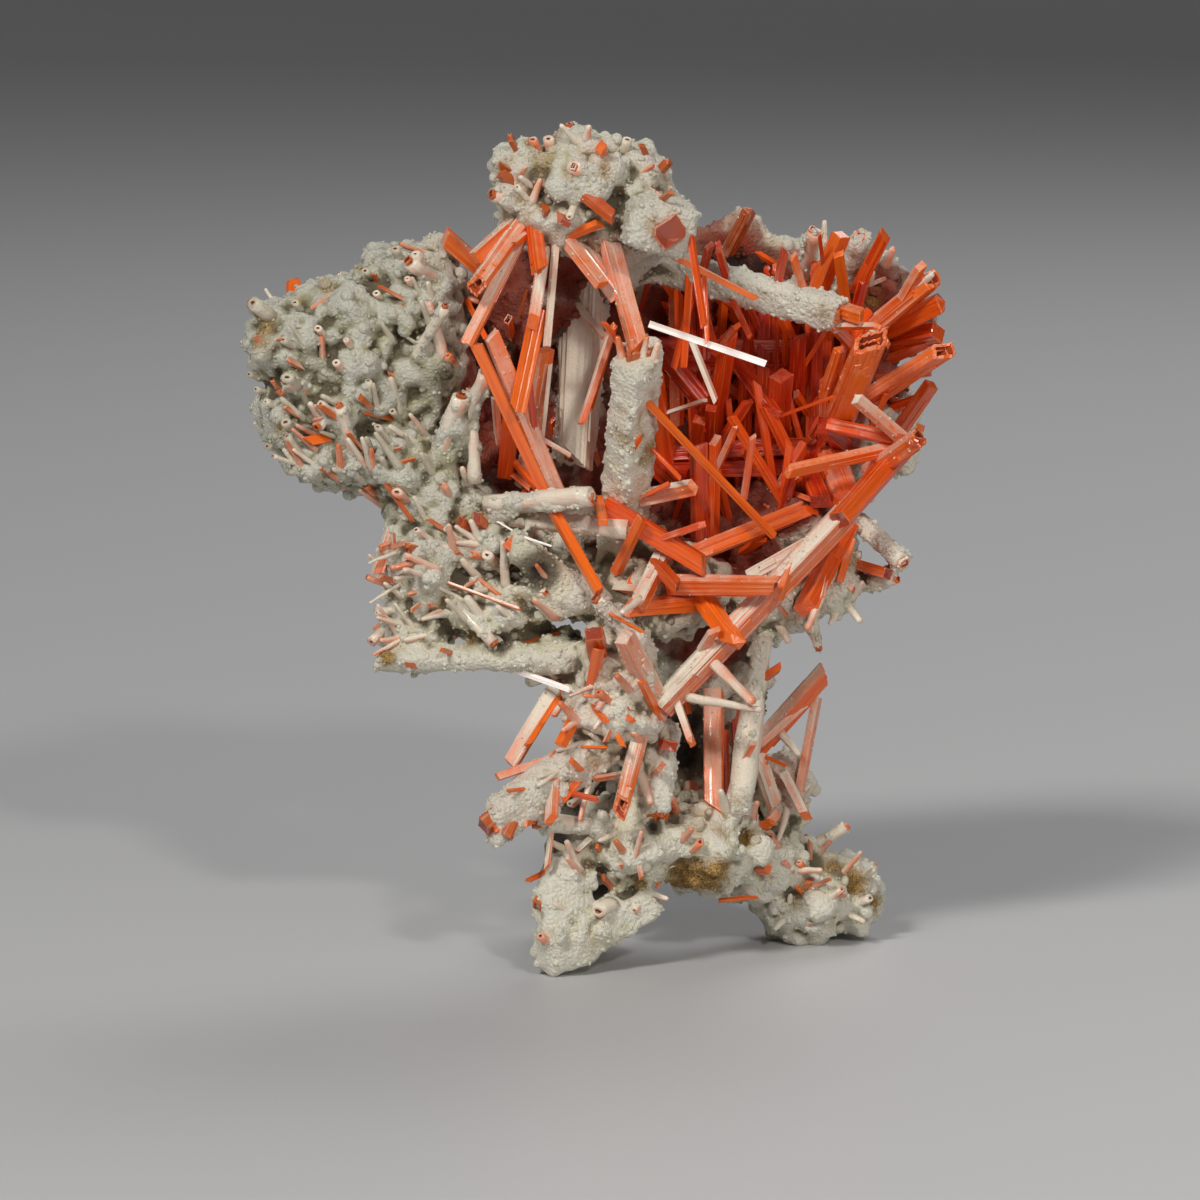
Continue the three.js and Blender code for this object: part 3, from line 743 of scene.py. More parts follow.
def bumped(tree, shader, height, strength, distance):
    """Feeds a height to the shader's normal."""
    bump = wired(tree, "ShaderNodeBump", {"Height": height, "Strength": strength, "Distance": distance})
    tree.links.new(bump.outputs[0], shader.inputs["Normal"])


def new_group(name, gives, **takes):
    """An empty node group: takes gives the float inputs' defaults, and a default of None is a vector."""
    group = bpy.data.node_groups.new(name, "ShaderNodeTree")
    for key, value in takes.items():
        kind = "NodeSocketVector" if value is None else "NodeSocketFloat"
        socket = group.interface.new_socket(key, in_out="INPUT", socket_type=kind)
        if value is not None:
            socket.default_value = value
    for key in gives:
        group.interface.new_socket(key, in_out="OUTPUT", socket_type="NodeSocketFloat")
    return group, group.nodes.new("NodeGroupInput").outputs, group.nodes.new("NodeGroupOutput").inputs


def noisy(tree, vector, scale, detail, roughness=0.5):
    """A noise pattern's value."""
    feeds = {"Vector": vector, "Scale": scale, "Detail": detail, "Roughness": roughness}
    return wired(tree, "ShaderNodeTexNoise", feeds).outputs["Fac"]


# %% Streak and grit groups
LONG_GRAIN = (1, 1, 0.025)
streaks, taken, given = new_group("streaks along a prism", ["Broad", "Fine"], Grain=None, Across=1.6)
stretched = wired(streaks, "ShaderNodeVectorMath", {0: taken["Grain"], 1: LONG_GRAIN}, operation="MULTIPLY")
fine_scale = times(streaks, taken["Across"], 4.5)
streaks.links.new(noisy(streaks, stretched.outputs[0], taken["Across"], 2.0), given["Broad"])
streaks.links.new(noisy(streaks, stretched.outputs[0], fine_scale, 3.0), given["Fine"])

grit, taken, given = new_group("grit", ["Beads", "Patches", "Specks"], Beads_per_mm=1.7, Patches_per_mm=0.22)
place = wired(grit, "ShaderNodeTexCoord").outputs["Object"]
in_mm = wired(grit, "ShaderNodeVectorMath", {0: place, "Scale": 1 / MM}, operation="SCALE").outputs[0]
cells = {"Vector": in_mm, "Scale": taken["Beads_per_mm"]}
beads = wired(grit, "ShaderNodeTexVoronoi", cells, feature="F1")
speck_scale = times(grit, taken["Beads_per_mm"], 2.6)
grit.links.new(minus(grit, 1.0, beads.outputs["Distance"]), given["Beads"])
grit.links.new(noisy(grit, in_mm, taken["Patches_per_mm"], 4.0), given["Patches"])
grit.links.new(noisy(grit, in_mm, speck_scale, 4.0, 0.65), given["Specks"])
print("node groups:", [g.name for g in bpy.data.node_groups])

# %% [markdown]
# ## The crystals' finish
# A fresh crocoite face is orange-red and glassy, with a very high gloss for a stone. Most faces here
# carry a pinkish-white frost, thicker on the sides that look up, and broken ends are dark and brown.
# Each crystal's corners hold four numbers, so that one material can dress them all: how frosted the face
# is, how red the crystal is, whether the face is a broken end, and how rusty it is. The frost also carries
# a painted edge light, the redness a painted shade towards the root, and the dark inside a hollow end
# is painted shade. Painted light from within stands in for light through the crystals, and a few
# near-white ones carry a painted reflection.

# %% Crocoite material
FLAME, RUSTY, BROKEN = (1.0, 0.24, 0.03, 1), (0.36, 0.085, 0.016, 1), (0.25, 0.045, 0.030, 1)
THIN_POWDER, POWDER, OLD_POWDER = (0.84, 0.24, 0.08, 1), (0.80, 0.56, 0.45, 1), (0.66, 0.34, 0.18, 1)
CREAM_POWDER, GREY_POWDER = (0.80, 0.74, 0.60, 1), (0.54, 0.52, 0.40, 1)
CROCOITE_IOR = 1.6
POWDER_ROUGHNESS = 0.48
COAT_WEIGHT, COAT_ROUGHNESS = 0.35, 0.10
BLACK = (0, 0, 0, 1)


def gritty(tree, beads_per_mm, patches_per_mm=0.22):
    """The grit's three values: beads, patches and specks."""
    feeds = {"Beads_per_mm": beads_per_mm, "Patches_per_mm": patches_per_mm}
    return wired(tree, "ShaderNodeGroup", feeds, node_tree=grit).outputs


def crocoite(name, orange, red, striping=0.9, gloss=0.13, painted_inner_light=0.03):
    """Orange, striated and frosted by the corners' finish numbers, with painted light from within that stands
    in for light through the crystal.
    """
    paint, tree, shader = new_paint(name)
    finish = wired(tree, "ShaderNodeAttribute", attribute_name="finish")
    frost, redness, broken = wired(tree, "ShaderNodeSeparateColor", {0: finish.outputs["Color"]}).outputs
    rust = finish.outputs["Alpha"]
    grain = wired(tree, "ShaderNodeAttribute", attribute_name="grain").outputs["Vector"]
    lines = wired(tree, "ShaderNodeGroup", node_tree=streaks)
    tree.links.new(grain, lines.inputs["Grain"])
    broad, fine = lines.outputs
    beads, patches, specks = gritty(tree, 3.4, 0.7)
    hue = plus(tree, redness, times(tree, minus(tree, broad, 0.5), striping), True)
    body = layered(tree, mixed(tree, hue, orange, red), [(fine, 0.50, 0.72, 0, 0.35, FLAME)])
    body = mixed(tree, times(tree, rust, 0.75), body, RUSTY)
    body = mixed(tree, times(tree, broken, 1.2, True), body, BROKEN)
    uneven = times(tree, minus(tree, patches, 0.5), 0.8)
    striped = times(tree, minus(tree, fine, 0.5), 0.3)
    frosted = ranged(tree, plus(tree, frost, plus(tree, uneven, striped)), 0.22, 1.20, 0, 0.95)
    frosted = times(tree, frosted, minus(tree, 1.0, broken, True))
    powder = layered(tree, mixed(tree, frost, THIN_POWDER, POWDER), [
        (specks, 0.38, 0.62, 0.35, 0, OLD_POWDER),
        (frost, 0.85, 1.2, 0, 1, CREAM_POWDER),
        (frost, 1.3, 1.7, 0, 1, GREY_POWDER),
    ])
    tree.links.new(mixed(tree, frosted, body, powder), shader.inputs["Base Color"])
    rough = plus(tree, ranged(tree, frosted, 0, 1, gloss, POWDER_ROUGHNESS), times(tree, fine, 0.08))
    tree.links.new(rough, shader.inputs["Roughness"])
    powdery = times(tree, plus(tree, beads, specks), times(tree, frosted, 0.8))
    bumped(tree, shader, plus(tree, times(tree, fine, 0.6), powdery), strength=0.6, distance=0.12 * MM)
    # Painted light from within: the unfrosted body colour given out as light, standing in for light through
    # the crystal.
    inner_light_colour = mixed(tree, minus(tree, 1.0, frosted, True), BLACK, body)
    tree.links.new(inner_light_colour, shader.inputs["Emission Color"])
    shader.inputs["Emission Strength"].default_value = painted_inner_light
    shader.inputs["IOR"].default_value = CROCOITE_IOR
    shader.inputs["Coat Weight"].default_value = COAT_WEIGHT
    shader.inputs["Coat Roughness"].default_value = COAT_ROUGHNESS
    return paint


orange_crystal = crocoite("crocoite", (0.86, 0.150, 0.010, 1), (0.64, 0.050, 0.006, 1))
deep_crystal = crocoite("deep crocoite", (0.88, 0.100, 0.007, 1), (0.46, 0.020, 0.005, 1))
# Painted reflection: a near-white crystal with strong painted light from within, for the faces that shine
# white with the light's reflection.
crystal_with_painted_reflection = crocoite(
    "crocoite with painted reflection", (0.98, 0.95, 0.92, 1), (0.60, 0.46, 0.38, 1), striping=2.4, gloss=0.10, painted_inner_light=0.26
)
print("crystal materials:", [m.name for m in (orange_crystal, deep_crystal, crystal_with_painted_reflection)])

# %% [markdown]
# ## A crystal
# A crocoite prism is a flattened square in section, with fine ridges along its sides where thinner
# crystals have grown side by side. The section is laid out as a ring of points with small random steps,
# made one face, and extruded in a few lifts. The end is slanted, then left flat, drawn up to a low peak,
# hollowed in steps by insets and extrusions inwards, or broken up by poking it. Stout prisms get thin
# slivers along them that end at other heights, which makes the stepped ends of the real ones. A stub that
# the crust has coated is round instead: a finger with smooth sides, drawn in to a tip or broken off.

# %% Section of a prism
FLATNESS = 0.8
CORNER_CUT = 0.34
THIN_CORNER_CUT = 0.10
THIN_PRISM = 2.5
RIDGE_SPACING = 0.28
RIDGE_DEPTH = 0.10
CORNER_STRIP = 0.045


def ridged_section(width, dice, hollow=False):
    """The corner points of the section in millimetres, with small steps between them."""
    half = width / 2
    tall = half * FLATNESS
    cut = half * (CORNER_CUT if width >= THIN_PRISM or hollow else THIN_CORNER_CUT)
    corners = [(-half, -tall), (half - cut, -tall), (half, -tall + cut)]
    corners += [(half, tall), (-half + cut, tall), (-half, tall - cut)]
    points = []
    for start, end in zip(corners, corners[1:] + corners[:1]):
        start = Vector(start)
        side = Vector(end) - start
        inward = Vector((-side.y, side.x)).normalized()
        strip = side.normalized() * width * CORNER_STRIP
        if side.length < 6 * strip.length:
            points.append(start)
            continue
        steps = max(2, round(side.length / RIDGE_SPACING))
        points.append(start + strip)
        for i in range(1, steps):
            depth = dice.uniform(-0.2, 1) * min(RIDGE_DEPTH, width * 0.05)
            points.append(start + side * (i + dice.uniform(-0.25, 0.25)) / steps + inward * depth)
        points.append(start + side - strip)
    return points


print("a 2.6 mm prism has", len(ridged_section(2.6, random.Random(1))), "section points")

# %% Growing one crystal
LOOKS = {  # frost, how much more frost a face has for looking up, redness, rust
    "bright": (0.00, 0.30, 0.05, 0), "orange": (0.20, 0.50, 0.28, 0), "red": (0.04, 0.40, 0.70, 0),
    "deep": (0.00, 0.22, 1.00, 0), "salmon": (0.58, 0.60, 0.30, 0), "pink": (0.84, 0.50, 0.35, 0),
    "coated": (0.86, 0.50, 0.22, 0), "cream": (1.00, 0.20, 0.10, 0), "rust": (0.10, 0.35, 0.35, 1.0),
    "brown": (0.16, 0.25, 0.75, 0.5), "gleam": (0.00, 0.00, 0.25, 0), "finger": (1.20, 0.15, 0.10, 0),
    "peach": (0.92, 0.25, 0.15, 0), "tanned": (0.85, 0.15, 0.10, 0.5), "umber": (0.20, 0.45, 0.90, 1.0),
    "tan": (0.78, 0.35, 0.15, 0.8), "amber": (0.46, 0.35, 0.05, 0.6),
    "blush": (0.36, 0.50, 0.35, 0), "greyed": (1.70, 0.15, 0.10, 0),
}
DUST_FALL = Vector((-0.50, -0.20, 0.84))
STRIP_FROST, PATCH_FROST, TINT_SPREAD = 0.22, 0.30, 0.35
FACE_SCALE, STRIP_SCALE, PATCH_SCALE = 1.6, 0.12, (0.3, 0.35)
NARROW_FACE = 0.06
THREE_LIFTS = (0.34, 0.33, 0.33)
BEVEL_WIDTH, BEVEL_HEIGHT = 0.05, 0.03
HOPPER_STEPS = ((0.11, 0.30, 0.90), (0.08, 0.55, 0.75))  # lip, depth and narrowing, as shares
PEAKED_SHARE = 0.45
BROKEN_SUNK = 0.14
FEW_SLIVERS_FROM, MANY_SLIVERS_FROM = 1.2, 2.2
FINGER_SIDES = 9
FINGER_SEGMENT = 0.7
NEEDLE_TAPER, TUBE_TAPER = 0.62, 0.92
TUBE_CORE = (0.5, 0.3, 0.2, 1)


class Cluster:
    """Crystals that are gathered in one piece, each grown in a small mesh of its own first."""

    def __init__(self, name):
        self.name = name
        self.prisms = []

    def start(self, ring, foot=0.0):
        """A fresh mesh whose one face is the prism's section."""
        self.bm = bmesh.new()
        self.grain = self.bm.verts.layers.float_vector.new("grain")
        self.finish = self.bm.loops.layers.float_color.new("finish")
        base = self.bm.faces.new([self.bm.verts.new((x, y, foot)) for x, y in ring])
        base.normal_update()
        return base

    def lift(self, cap, vec, scale=1.0):
        """Extrudes a cap, moves it and scales it about its middle."""
        made = bmesh.ops.extrude_face_region(self.bm, geom=[cap])["geom"]
        if cap.is_valid and any(len(e.link_faces) > 2 for e in cap.edges):
            bmesh.ops.delete(self.bm, geom=[cap], context="FACES_ONLY")
        cap = of_kind(bmesh.types.BMFace, made)[0]
        bmesh.ops.translate(self.bm, verts=cap.verts, vec=vec)
        middle = cap.calc_center_median()
        bmesh.ops.scale(self.bm, verts=cap.verts, vec=(scale, scale, 1), space=Matrix.Translation(-middle))
        return cap

    def inset(self, cap, thickness, depth=0.0):
        """Sets a smaller cap inside a cap."""
        bmesh.ops.inset_region(self.bm, faces=[cap], thickness=thickness, depth=depth)

    def sides_of(self, cap):
        """The faces that border on a cap."""
        return [f for e in cap.edges for f in e.link_faces if f is not cap]

    def hopper(self, cap, width, dice):
        """Hollows a cap in two steps and returns the hollow's faces."""
        inner = []
        for lip, sunk, narrower in HOPPER_STEPS:
            self.inset(cap, width * lip * dice.uniform(0.8, 1.2))
            cap = self.lift(cap, (0, 0, -width * sunk), narrower)
            inner += self.sides_of(cap)
        return inner + [cap]

    def keep(self, place, length, width, look, ends, end_finish, dice):
        """Writes the finish numbers of one prism's corners, puts it in its place and keeps it."""
        bm = self.bm
        frost, spread, redness, rust = LOOKS[look]
        redness += dice.uniform(-0.16, 0.16)
        frost += dice.uniform(-0.08, 0.08)
        seed = dice.uniform(0, 90)
        turn = place.to_3x3().normalized()
        # Painted edge light: narrow edge strips get more frost, so lighter, on clear crystals, and less, so
        # brighter orange, on frosted ones.
        painted_edge_light = 0.15 if frost < 0.3 else -0.30 if frost < 0.9 else 0.0
        tip_bareness = 0.50 * (min(frost, 0.8) if frost < 0.9 else 0.2)
        for face in bm.faces:
            # Faces of the painted-glint look take the second material, the painted reflection.
            face.material_index = int(look == "gleam")
            face.normal_update()
            middle = face.calc_center_median()
            x, y = middle.x * FACE_SCALE, middle.y * FACE_SCALE
            strip = noise.noise(Vector((x + seed, y, middle.z * STRIP_SCALE)))
            snow = max(frost + spread * (turn @ face.normal).dot(DUST_FALL) + STRIP_FROST * strip, 0)
            if min(e.calc_length() for e in face.edges) < width * NARROW_FACE:
                snow += painted_edge_light
            tint = redness + TINT_SPREAD * noise.noise(Vector((x, y + seed, 7)))
            for corner in face.loops:
                height = corner.vert.co.z
                spot = Vector((seed, middle.y * PATCH_SCALE[0], height * PATCH_SCALE[1]))
                patch = PATCH_FROST * noise.noise(spot)
                patch += tip_bareness * (0.45 - height / length)
                # Painted shade: the redness rises towards the root, so each crystal is darker red deep in its
                # cluster.
                sides = (max(snow + patch, 0), tint + 0.25 * (0.5 - height / length), 0, rust)
                corner[self.finish] = end_finish if face in ends else sides
        drift = Vector([dice.uniform(0, 60) for _ in range(3)])
        for vert in bm.verts:
            vert[self.grain] = vert.co + drift
        bmesh.ops.transform(bm, matrix=place, verts=bm.verts)
        mesh = bpy.data.meshes.new("prism")
        bm.to_mesh(mesh)
        bm.free()
        self.prisms.append(mesh)

    def grow(self, place, length, width, end, look, slope, dice, foot=0.0, offset=(0, 0)):
        """One prism in its own frame, in millimetres along +Z, then put in its place."""
        ring = [(p.x + offset[0], p.y + offset[1]) for p in ridged_section(width, dice, end == "hollow")]
        cap = self.start(ring, foot)
        for share in THREE_LIFTS:
            cap = self.lift(cap, (0, 0, (length - foot) * share), dice.uniform(0.955, 1.02))
        way = dice.uniform(-0.5, 0.5)
        for vert in cap.verts:
            vert.co.z += slope * (vert.co.x - offset[0] + way * (vert.co.y - offset[1]))
            if end == "hollow":
                vert.co.z += dice.uniform(-0.06, 0.06) * width
        self.inset(cap, width * BEVEL_WIDTH, width * BEVEL_HEIGHT)
        ends = []
        if end == "hollow":
            ends = self.hopper(cap, width, dice)
        elif end == "broken" or dice.random() < PEAKED_SHARE:
            height = -BROKEN_SUNK if end == "broken" else dice.uniform(0.05, 0.35)
            poked = bmesh.ops.poke(self.bm, faces=[cap], offset=width * height)
            for vert in poked["verts"]:
                vert.co += Vector((dice.uniform(-0.2, 0.2), dice.uniform(-0.2, 0.2), 0)) * width
            ends = list(poked["faces"]) if end == "broken" else []
        _, _, redness, rust = LOOKS[look]
        # Broken ends get their own dark brown; the inside of a hollow end gets the same, where it is painted
        # shade.
        self.keep(place, length, width, look, set(ends), (0, redness + 0.2, 0.6, rust), dice)

    def crystal(self, root, tip, width, end, look, roll, slope, dice):
        """A prism between two places in metres, with slivers along it if it is stout."""
        length = (tip - root).length / MM
        turn = Vector((0, 0, 1)).rotation_difference((tip - root).normalized())
        turn = turn @ Quaternion((0, 0, 1), roll)
        place = Matrix.LocRotScale(root, turn, Vector((MM, MM, MM)))
        self.grow(place, length, width, end, look, slope, dice)
        slivers = 3 if width < MANY_SLIVERS_FROM else 6
        if width < FEW_SLIVERS_FROM or end == "broken":
            slivers = 0
        tallest = 0.85 if end == "hollow" else 1.0
        for _ in range(slivers):
            thin = width * dice.uniform(0.16, 0.40)
            side = dice.choice([(1, 0), (-1, 0), (0, 1), (0, -1)])
            reach = width / 2 - thin * 0.36
            across = dice.uniform(-0.7, 0.7) * reach
            x = side[0] * reach + abs(side[1]) * across
            y = (side[1] * reach + abs(side[0]) * across) * FLATNESS
            top = length * dice.uniform(0.35, tallest)
            slant = slope + dice.uniform(-0.3, 0.3)
            foot = length * dice.uniform(0.0, 0.2)
            self.grow(place, top, thin, "slant", look, slant, dice, foot=foot, offset=(x, y))

    def finger(self, root, tip, width, end, look, dice):
        """A coated stub, round and a little uneven, with a needle's or a tube's end."""
        length = (tip - root).length / MM
        place = Matrix.LocRotScale(root, (tip - root).to_track_quat("Z", "Y"), Vector((MM, MM, MM)))
        half = width / 2
        ring = []
        for i in range(FINGER_SIDES):
            turn = 2 * math.pi * i / FINGER_SIDES
            x = math.cos(turn) * half * dice.uniform(0.88, 1.1)
            ring.append((x, math.sin(turn) * half * dice.uniform(0.75, 1.0)))
        cap = self.start(ring)
        steps = max(3, round(length / width / FINGER_SEGMENT))
        narrowing = (NEEDLE_TAPER if end == "needle" else TUBE_TAPER) ** (1 / steps)
        for _ in range(steps):
            sway = dice.uniform(-0.06, 0.06) * width
            cap = self.lift(cap, (sway, -sway, length / steps), narrowing * dice.uniform(0.90, 1.10))
        ends = []
        if end == "needle":
            cap = self.lift(cap, (0, 0, width * 0.16), 0.68)
            self.lift(cap, (0, 0, width * 0.06), 0.40)
        else:
            self.inset(cap, width * dice.uniform(0.22, 0.32))
            cap = self.lift(cap, (0, 0, -width * 0.3), 0.85)
            ends = [cap] + self.sides_of(cap)
        for face in self.bm.faces:
            face.smooth = face not in ends
        self.keep(place, length, width, look, set(ends), TUBE_CORE, dice)

    def finished(self, paint, slot="crocoite", nodes=()):
        """The prisms joined as a piece that rides on the specimen."""
        joined = bmesh.new()
        for mesh in self.prisms:
            joined.from_mesh(mesh)
            bpy.data.meshes.remove(mesh)
        made = as_object(self.name, joined)
        made.data.materials.append(paint)
        # Crystals of the painted-glint look bring the painted-reflection material as well.
        if any(p.material_index for p in made.data.polygons):
            made.data.materials.append(crystal_with_painted_reflection)
        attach(made, "root")
        if nodes:
            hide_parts(*nodes)
        return made


print("looks:", ", ".join(LOOKS))

# %% [markdown]
# ## The large crystals
# Their rows are the solid model's own: root, tip and width, then the kind of end and the look. Where
# several of them are grown together in one solid, they go in one piece here too. The nearest solid to
# each crystal's outer half says which that is. The hollow's lining is one solid, and each wide slab of it
# becomes thin prisms side by side.

# %% Large crystals: column, row and depth of the root, the same of the tip, width, end, look
SPRAYS = table("""
656 236 -4 668 243 -12.9 4 broken umber; 605 232 -3 637 352 -9 2.3 slant salmon;
562 226 -2 616 300 -6 2.2 slant pink; 549 232 -3 535 328 -8 1.7 slant pink;
540 316 -6 520 412 -9 2 slant bright; 533 222 -4 470 350 -9 2 hollow salmon;
526 226 -4 480 293 -10 2.6 hollow salmon; 524 224 -4 478 266 -8 1.8 slant salmon;
534 228 -5 541 278 -9 1.8 slant red; 556 232 -4 602 292 -8 1.6 slant salmon;
558 236 -5 548 352 -8 0.9 slant cream; 505 290 6 447 241 3 2 slant salmon;
668 262 -8 753 304 -5 0.8 slant bright; 540 210 -4 503 183 -7 1.2 slant rust;
604 178 -3 601 158 -8 1.3 slant bright; 640 200 -1 667 170 -4 1.2 slant rust;
545 492 -5 479 350 -9 1.4 slant bright; 557 494 -4 494 341 -8 2 slant pink;
506 476 6 514 400 2 2 slant deep; 524 486 6 545 352 3 2 slant pink; 583 428 2 612 332 -3 1.1 slant salmon;
648 330 -8 762 369 -9 0.85 slant gleam; 772 537 -2 644 404 -8 0.9 slant bright;
660 706 -6 842 516 -4 3.4 hollow coated; 668 585 -4 772 586 -9 2.6 hollow orange;
604 506 -4 702 566 -6 2.4 slant red; 598 500 -3 603 524 -9 1.2 slant bright;
616 572 -3 641 520 -7 1.4 slant orange; 664 552 -3 638 604 -9 2.2 slant pink;
704 602 -2 628 608 -8 2 slant orange; 700 596 -3 731 640 -8 2.4 slant bright;
750 578 0 830 533 -3 2.2 slant pink; 812 507 4 688 556 -3 2.2 slant orange;
846 524 3 803 608 -4 2.6 slant red; 602 507 0 692 489 -5 2 slant pink;
550 505 -5 599 592 -9 1.5 slant bright; 872 470 4 914 440 -4 3.2 hollow blush;
898 452 3 836 521 -6 3.2 broken red; 897 448 2 786 473 -3 1.5 slant blush;
906 446 0 853 402 -3 1.5 slant pink; 892 440 6 929 386 3 1.8 slant brown;
838 420 4 866 346 -5 3.6 hollow orange; 864 402 6 939 354 -1 2.7 hollow blush;
824 396 4 836 353 -1 1.5 slant blush; 856 352 6 828 328 -2 1.3 slant orange;
812 304 2 857 321 -4 2 slant orange; 884 330 10 937 306 3 3.2 slant red; 884 344 12 936 334 6 2.6 slant red;
866 334 8 928 283 2 3 hollow blush; 856 290 8 882 239 3 1.7 slant red; 812 304 8 839 238 4 2.2 slant orange;
846 312 8 836 258 2 1.4 slant bright; 846 562 4 885 574 -1 1.7 broken brown;
600 660 -6 594 633 -12 2.5 broken brown; 590 694 -7 599 648 -11 1.4 slant bright;
662 712 -5 624 636 -11 2.6 slant cream; 659 717 -6 641 680 -10.5 1 slant bright;
555 690 -3 514 758 -6 2.4 slant pink; 566 684 -3 529 742 -7 0.9 slant bright;
584 700 -7 561 743 -10 1.4 slant bright; 566 752 -7 499 774 -10 1 slant salmon;
596 756 -6 561 798 -10 1.4 slant orange; 520 798 -10.2 486 822 -12.6 2.6 broken umber;
640 730 -6 621 803 -11 2.6 hollow salmon; 713 690 4 713 806 -2 2.4 slant blush;
756 750 6 823 674 4 2.5 hollow salmon; 817 698 5 800 792 6 1.2 slant cream;
784 772 5 806 816 4 1.5 slant pink
""")
BOWL_LINING = table("""
690 296 12 692 476 10 4.2 slant red; 764 300 11 764 476 9 4.4 slant deep;
640 352 11 836 356 10 3.2 slant deep; 624 462 9 842 452 7 3 slant red; 822 300 10 818 466 8 3 slant red;
700 470 9 703 408 0 2.6 slant red; 706 546 3 703 440 0 2.6 slant red; 728 252 12 749 212 9 1.8 slant umber;
797 400 9 797 330 4 1.8 slant red; 775 446 8 775 372 3 1.8 slant deep;
712 440 10 733 328 1 1.4 slant bright; 733 356 10 778 434 1 1.6 slant red;
846 447 7 812 427 1 2.2 slant orange; 800 452 7 822 510 0 1.6 slant pink;
828 454 7 842 508 1 2.2 slant orange; 668 462 9 652 338 1 1.7 slant orange;
662 352 10 712 415 1 1.7 slant bright; 656 464 8 690 492 0 2 slant orange
""")
WIDTH_SHARE = 0.80
USUAL_ROLL = 0.4
ROLL_SPREAD = 0.6
STEEPEST_END = 0.80
BROKEN_SLOPE = 0.15
WIDEST_LINING = 1.5


def node_trees():
    """A nearest-point tree for each crystal node of the solid model."""
    trees = {}
    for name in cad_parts:
        if name != "matrix":
            copy = solid_copy(name)
            trees[name] = BVHTree.FromBMesh(copy)
            copy.free()
    return trees


def node_of(row, trees):
    """The node whose surface is nearest to the crystal's outer half."""
    root, tip = ends_of(row)
    spot = root.lerp(tip, 0.8)
    return min(trees, key=lambda name: trees[name].find_nearest(spot)[3])


def palisade(cluster, root, tip, width, look, roll, slope, dice):
    """A wide slab of the lining as thin prisms side by side."""
    count = max(1, round(width / WIDEST_LINING))
    across = (tip - root).cross(Vector((0, 1, 0))).normalized()
    for i in range(count):
        aside = across * ((i + 0.5) / count - 0.5) * width * MM
        depth = Vector((0, dice.uniform(-0.7, 0.7) * MM, 0))
        sway = across * dice.uniform(-0.6, 0.6) * MM
        shade = dice.choice([look, look, "orange", "red", "deep"])
        end = root.lerp(tip, dice.uniform(0.72, 1.0)) + aside + depth + sway
        thin = width / count * dice.uniform(0.8, 1.25)
        turned = roll + dice.uniform(-0.4, 0.4)
        cluster.crystal(root + aside + depth, end, thin, "slant", shade, turned, slope, dice)


trees = node_trees()
clusters = {}
for row in SPRAYS + BOWL_LINING:
    lining = row in BOWL_LINING
    node = "bowl_crust" if lining else node_of(row, trees)
    cluster = clusters.setdefault(node, Cluster(node + "_crystals"))
    root, tip = ends_of(row)
    width, end, look = row[6:]
    dice = random.Random(int(row[0] * 7 + row[1]))
    roll = USUAL_ROLL + ROLL_SPREAD * math.sin(row[0] + 3 * row[1])
    slope = STEEPEST_END * math.cos(row[3] + 2 * row[4]) * (BROKEN_SLOPE if end == "broken" else 1)
    if lining and look != "umber":
        palisade(cluster, root, tip, width, look, roll, slope, dice)
    else:
        cluster.crystal(root, tip, width * WIDTH_SHARE, end, look, roll, slope, dice)
print("solids without a crystal:", sorted(set(trees) - set(clusters)))
large = {}
for node, cluster in clusters.items():
    if node == "bowl_crust":
        large[node] = cluster.finished(deep_crystal, "deep_crocoite", [node])
    else:
        large[node] = cluster.finished(orange_crystal, "crocoite", [node])
print("large crystals:", len(SPRAYS + BOWL_LINING), "in", len(large), "pieces")

# %% [markdown]
# ## Small crystals
# The bare stubs, needles and splinters are grown the same way as the large ones, on whatever surface the
# line of sight meets first. The hollow itself is packed with upright prisms, too many to list, so they
# are drawn at random inside an ellipse of the elevation and seated on its back wall. The wing's stubs wear
# the greyer coats, grey partly as painted shade.

# %% Filling of the hollow
BOWL_FILL = 110
BOWL_MIDDLE, BOWL_REACH = (738, 385), (112, 140)
BOWL_TOP_ROW, TURNING_ROW = 268, 330
SHALLOWEST_FILL = 1.5
BOWL_LOOKS = ["red", "red", "deep", "deep", "orange", "orange", "bright", "salmon"]


def bowl_rows():
    """Upright prisms in the hollow, in the small forms' own format."""
    rows = []
    for i in range(BOWL_FILL):
        dice = random.Random(300 + i)
        column, row = inside_ellipse(*BOWL_MIDDLE, *BOWL_REACH, dice)
        if surface_depth(column, row, crust_tree) < SHALLOWEST_FILL:
            continue
        length = dice.uniform(40, 120)
        tilt = math.radians(dice.gauss(0, 24))
        up = 1 if row > TURNING_ROW or dice.random() < 0.3 else -1
        tip = [column + length * math.sin(tilt), max(row - up * length * math.cos(tilt), BOWL_TOP_ROW)]
        look = dice.choice(BOWL_LOOKS)
        rows.append([column, row, *tip, dice.uniform(0.7, 1.8), "slant", look, dice.uniform(1, 4)])
    return rows


bowl_fill = bowl_rows()
print("prisms that fill the hollow:", len(bowl_fill))

# %% Small crystals in their pieces
COATS = ["finger", "finger", "finger", "peach", "tanned"]
# The wing's coats are greyer, partly as painted shade like the wing's crust.
WING_COATS = ["greyed", "greyed", "finger", "greyed", "tanned"]
WING_END_COLUMN, WING_END_ROW = 440, 520
FINGER_WIDTH = 0.88
THINNED = 0.66
THINNED_ON_CRUST = 0.8


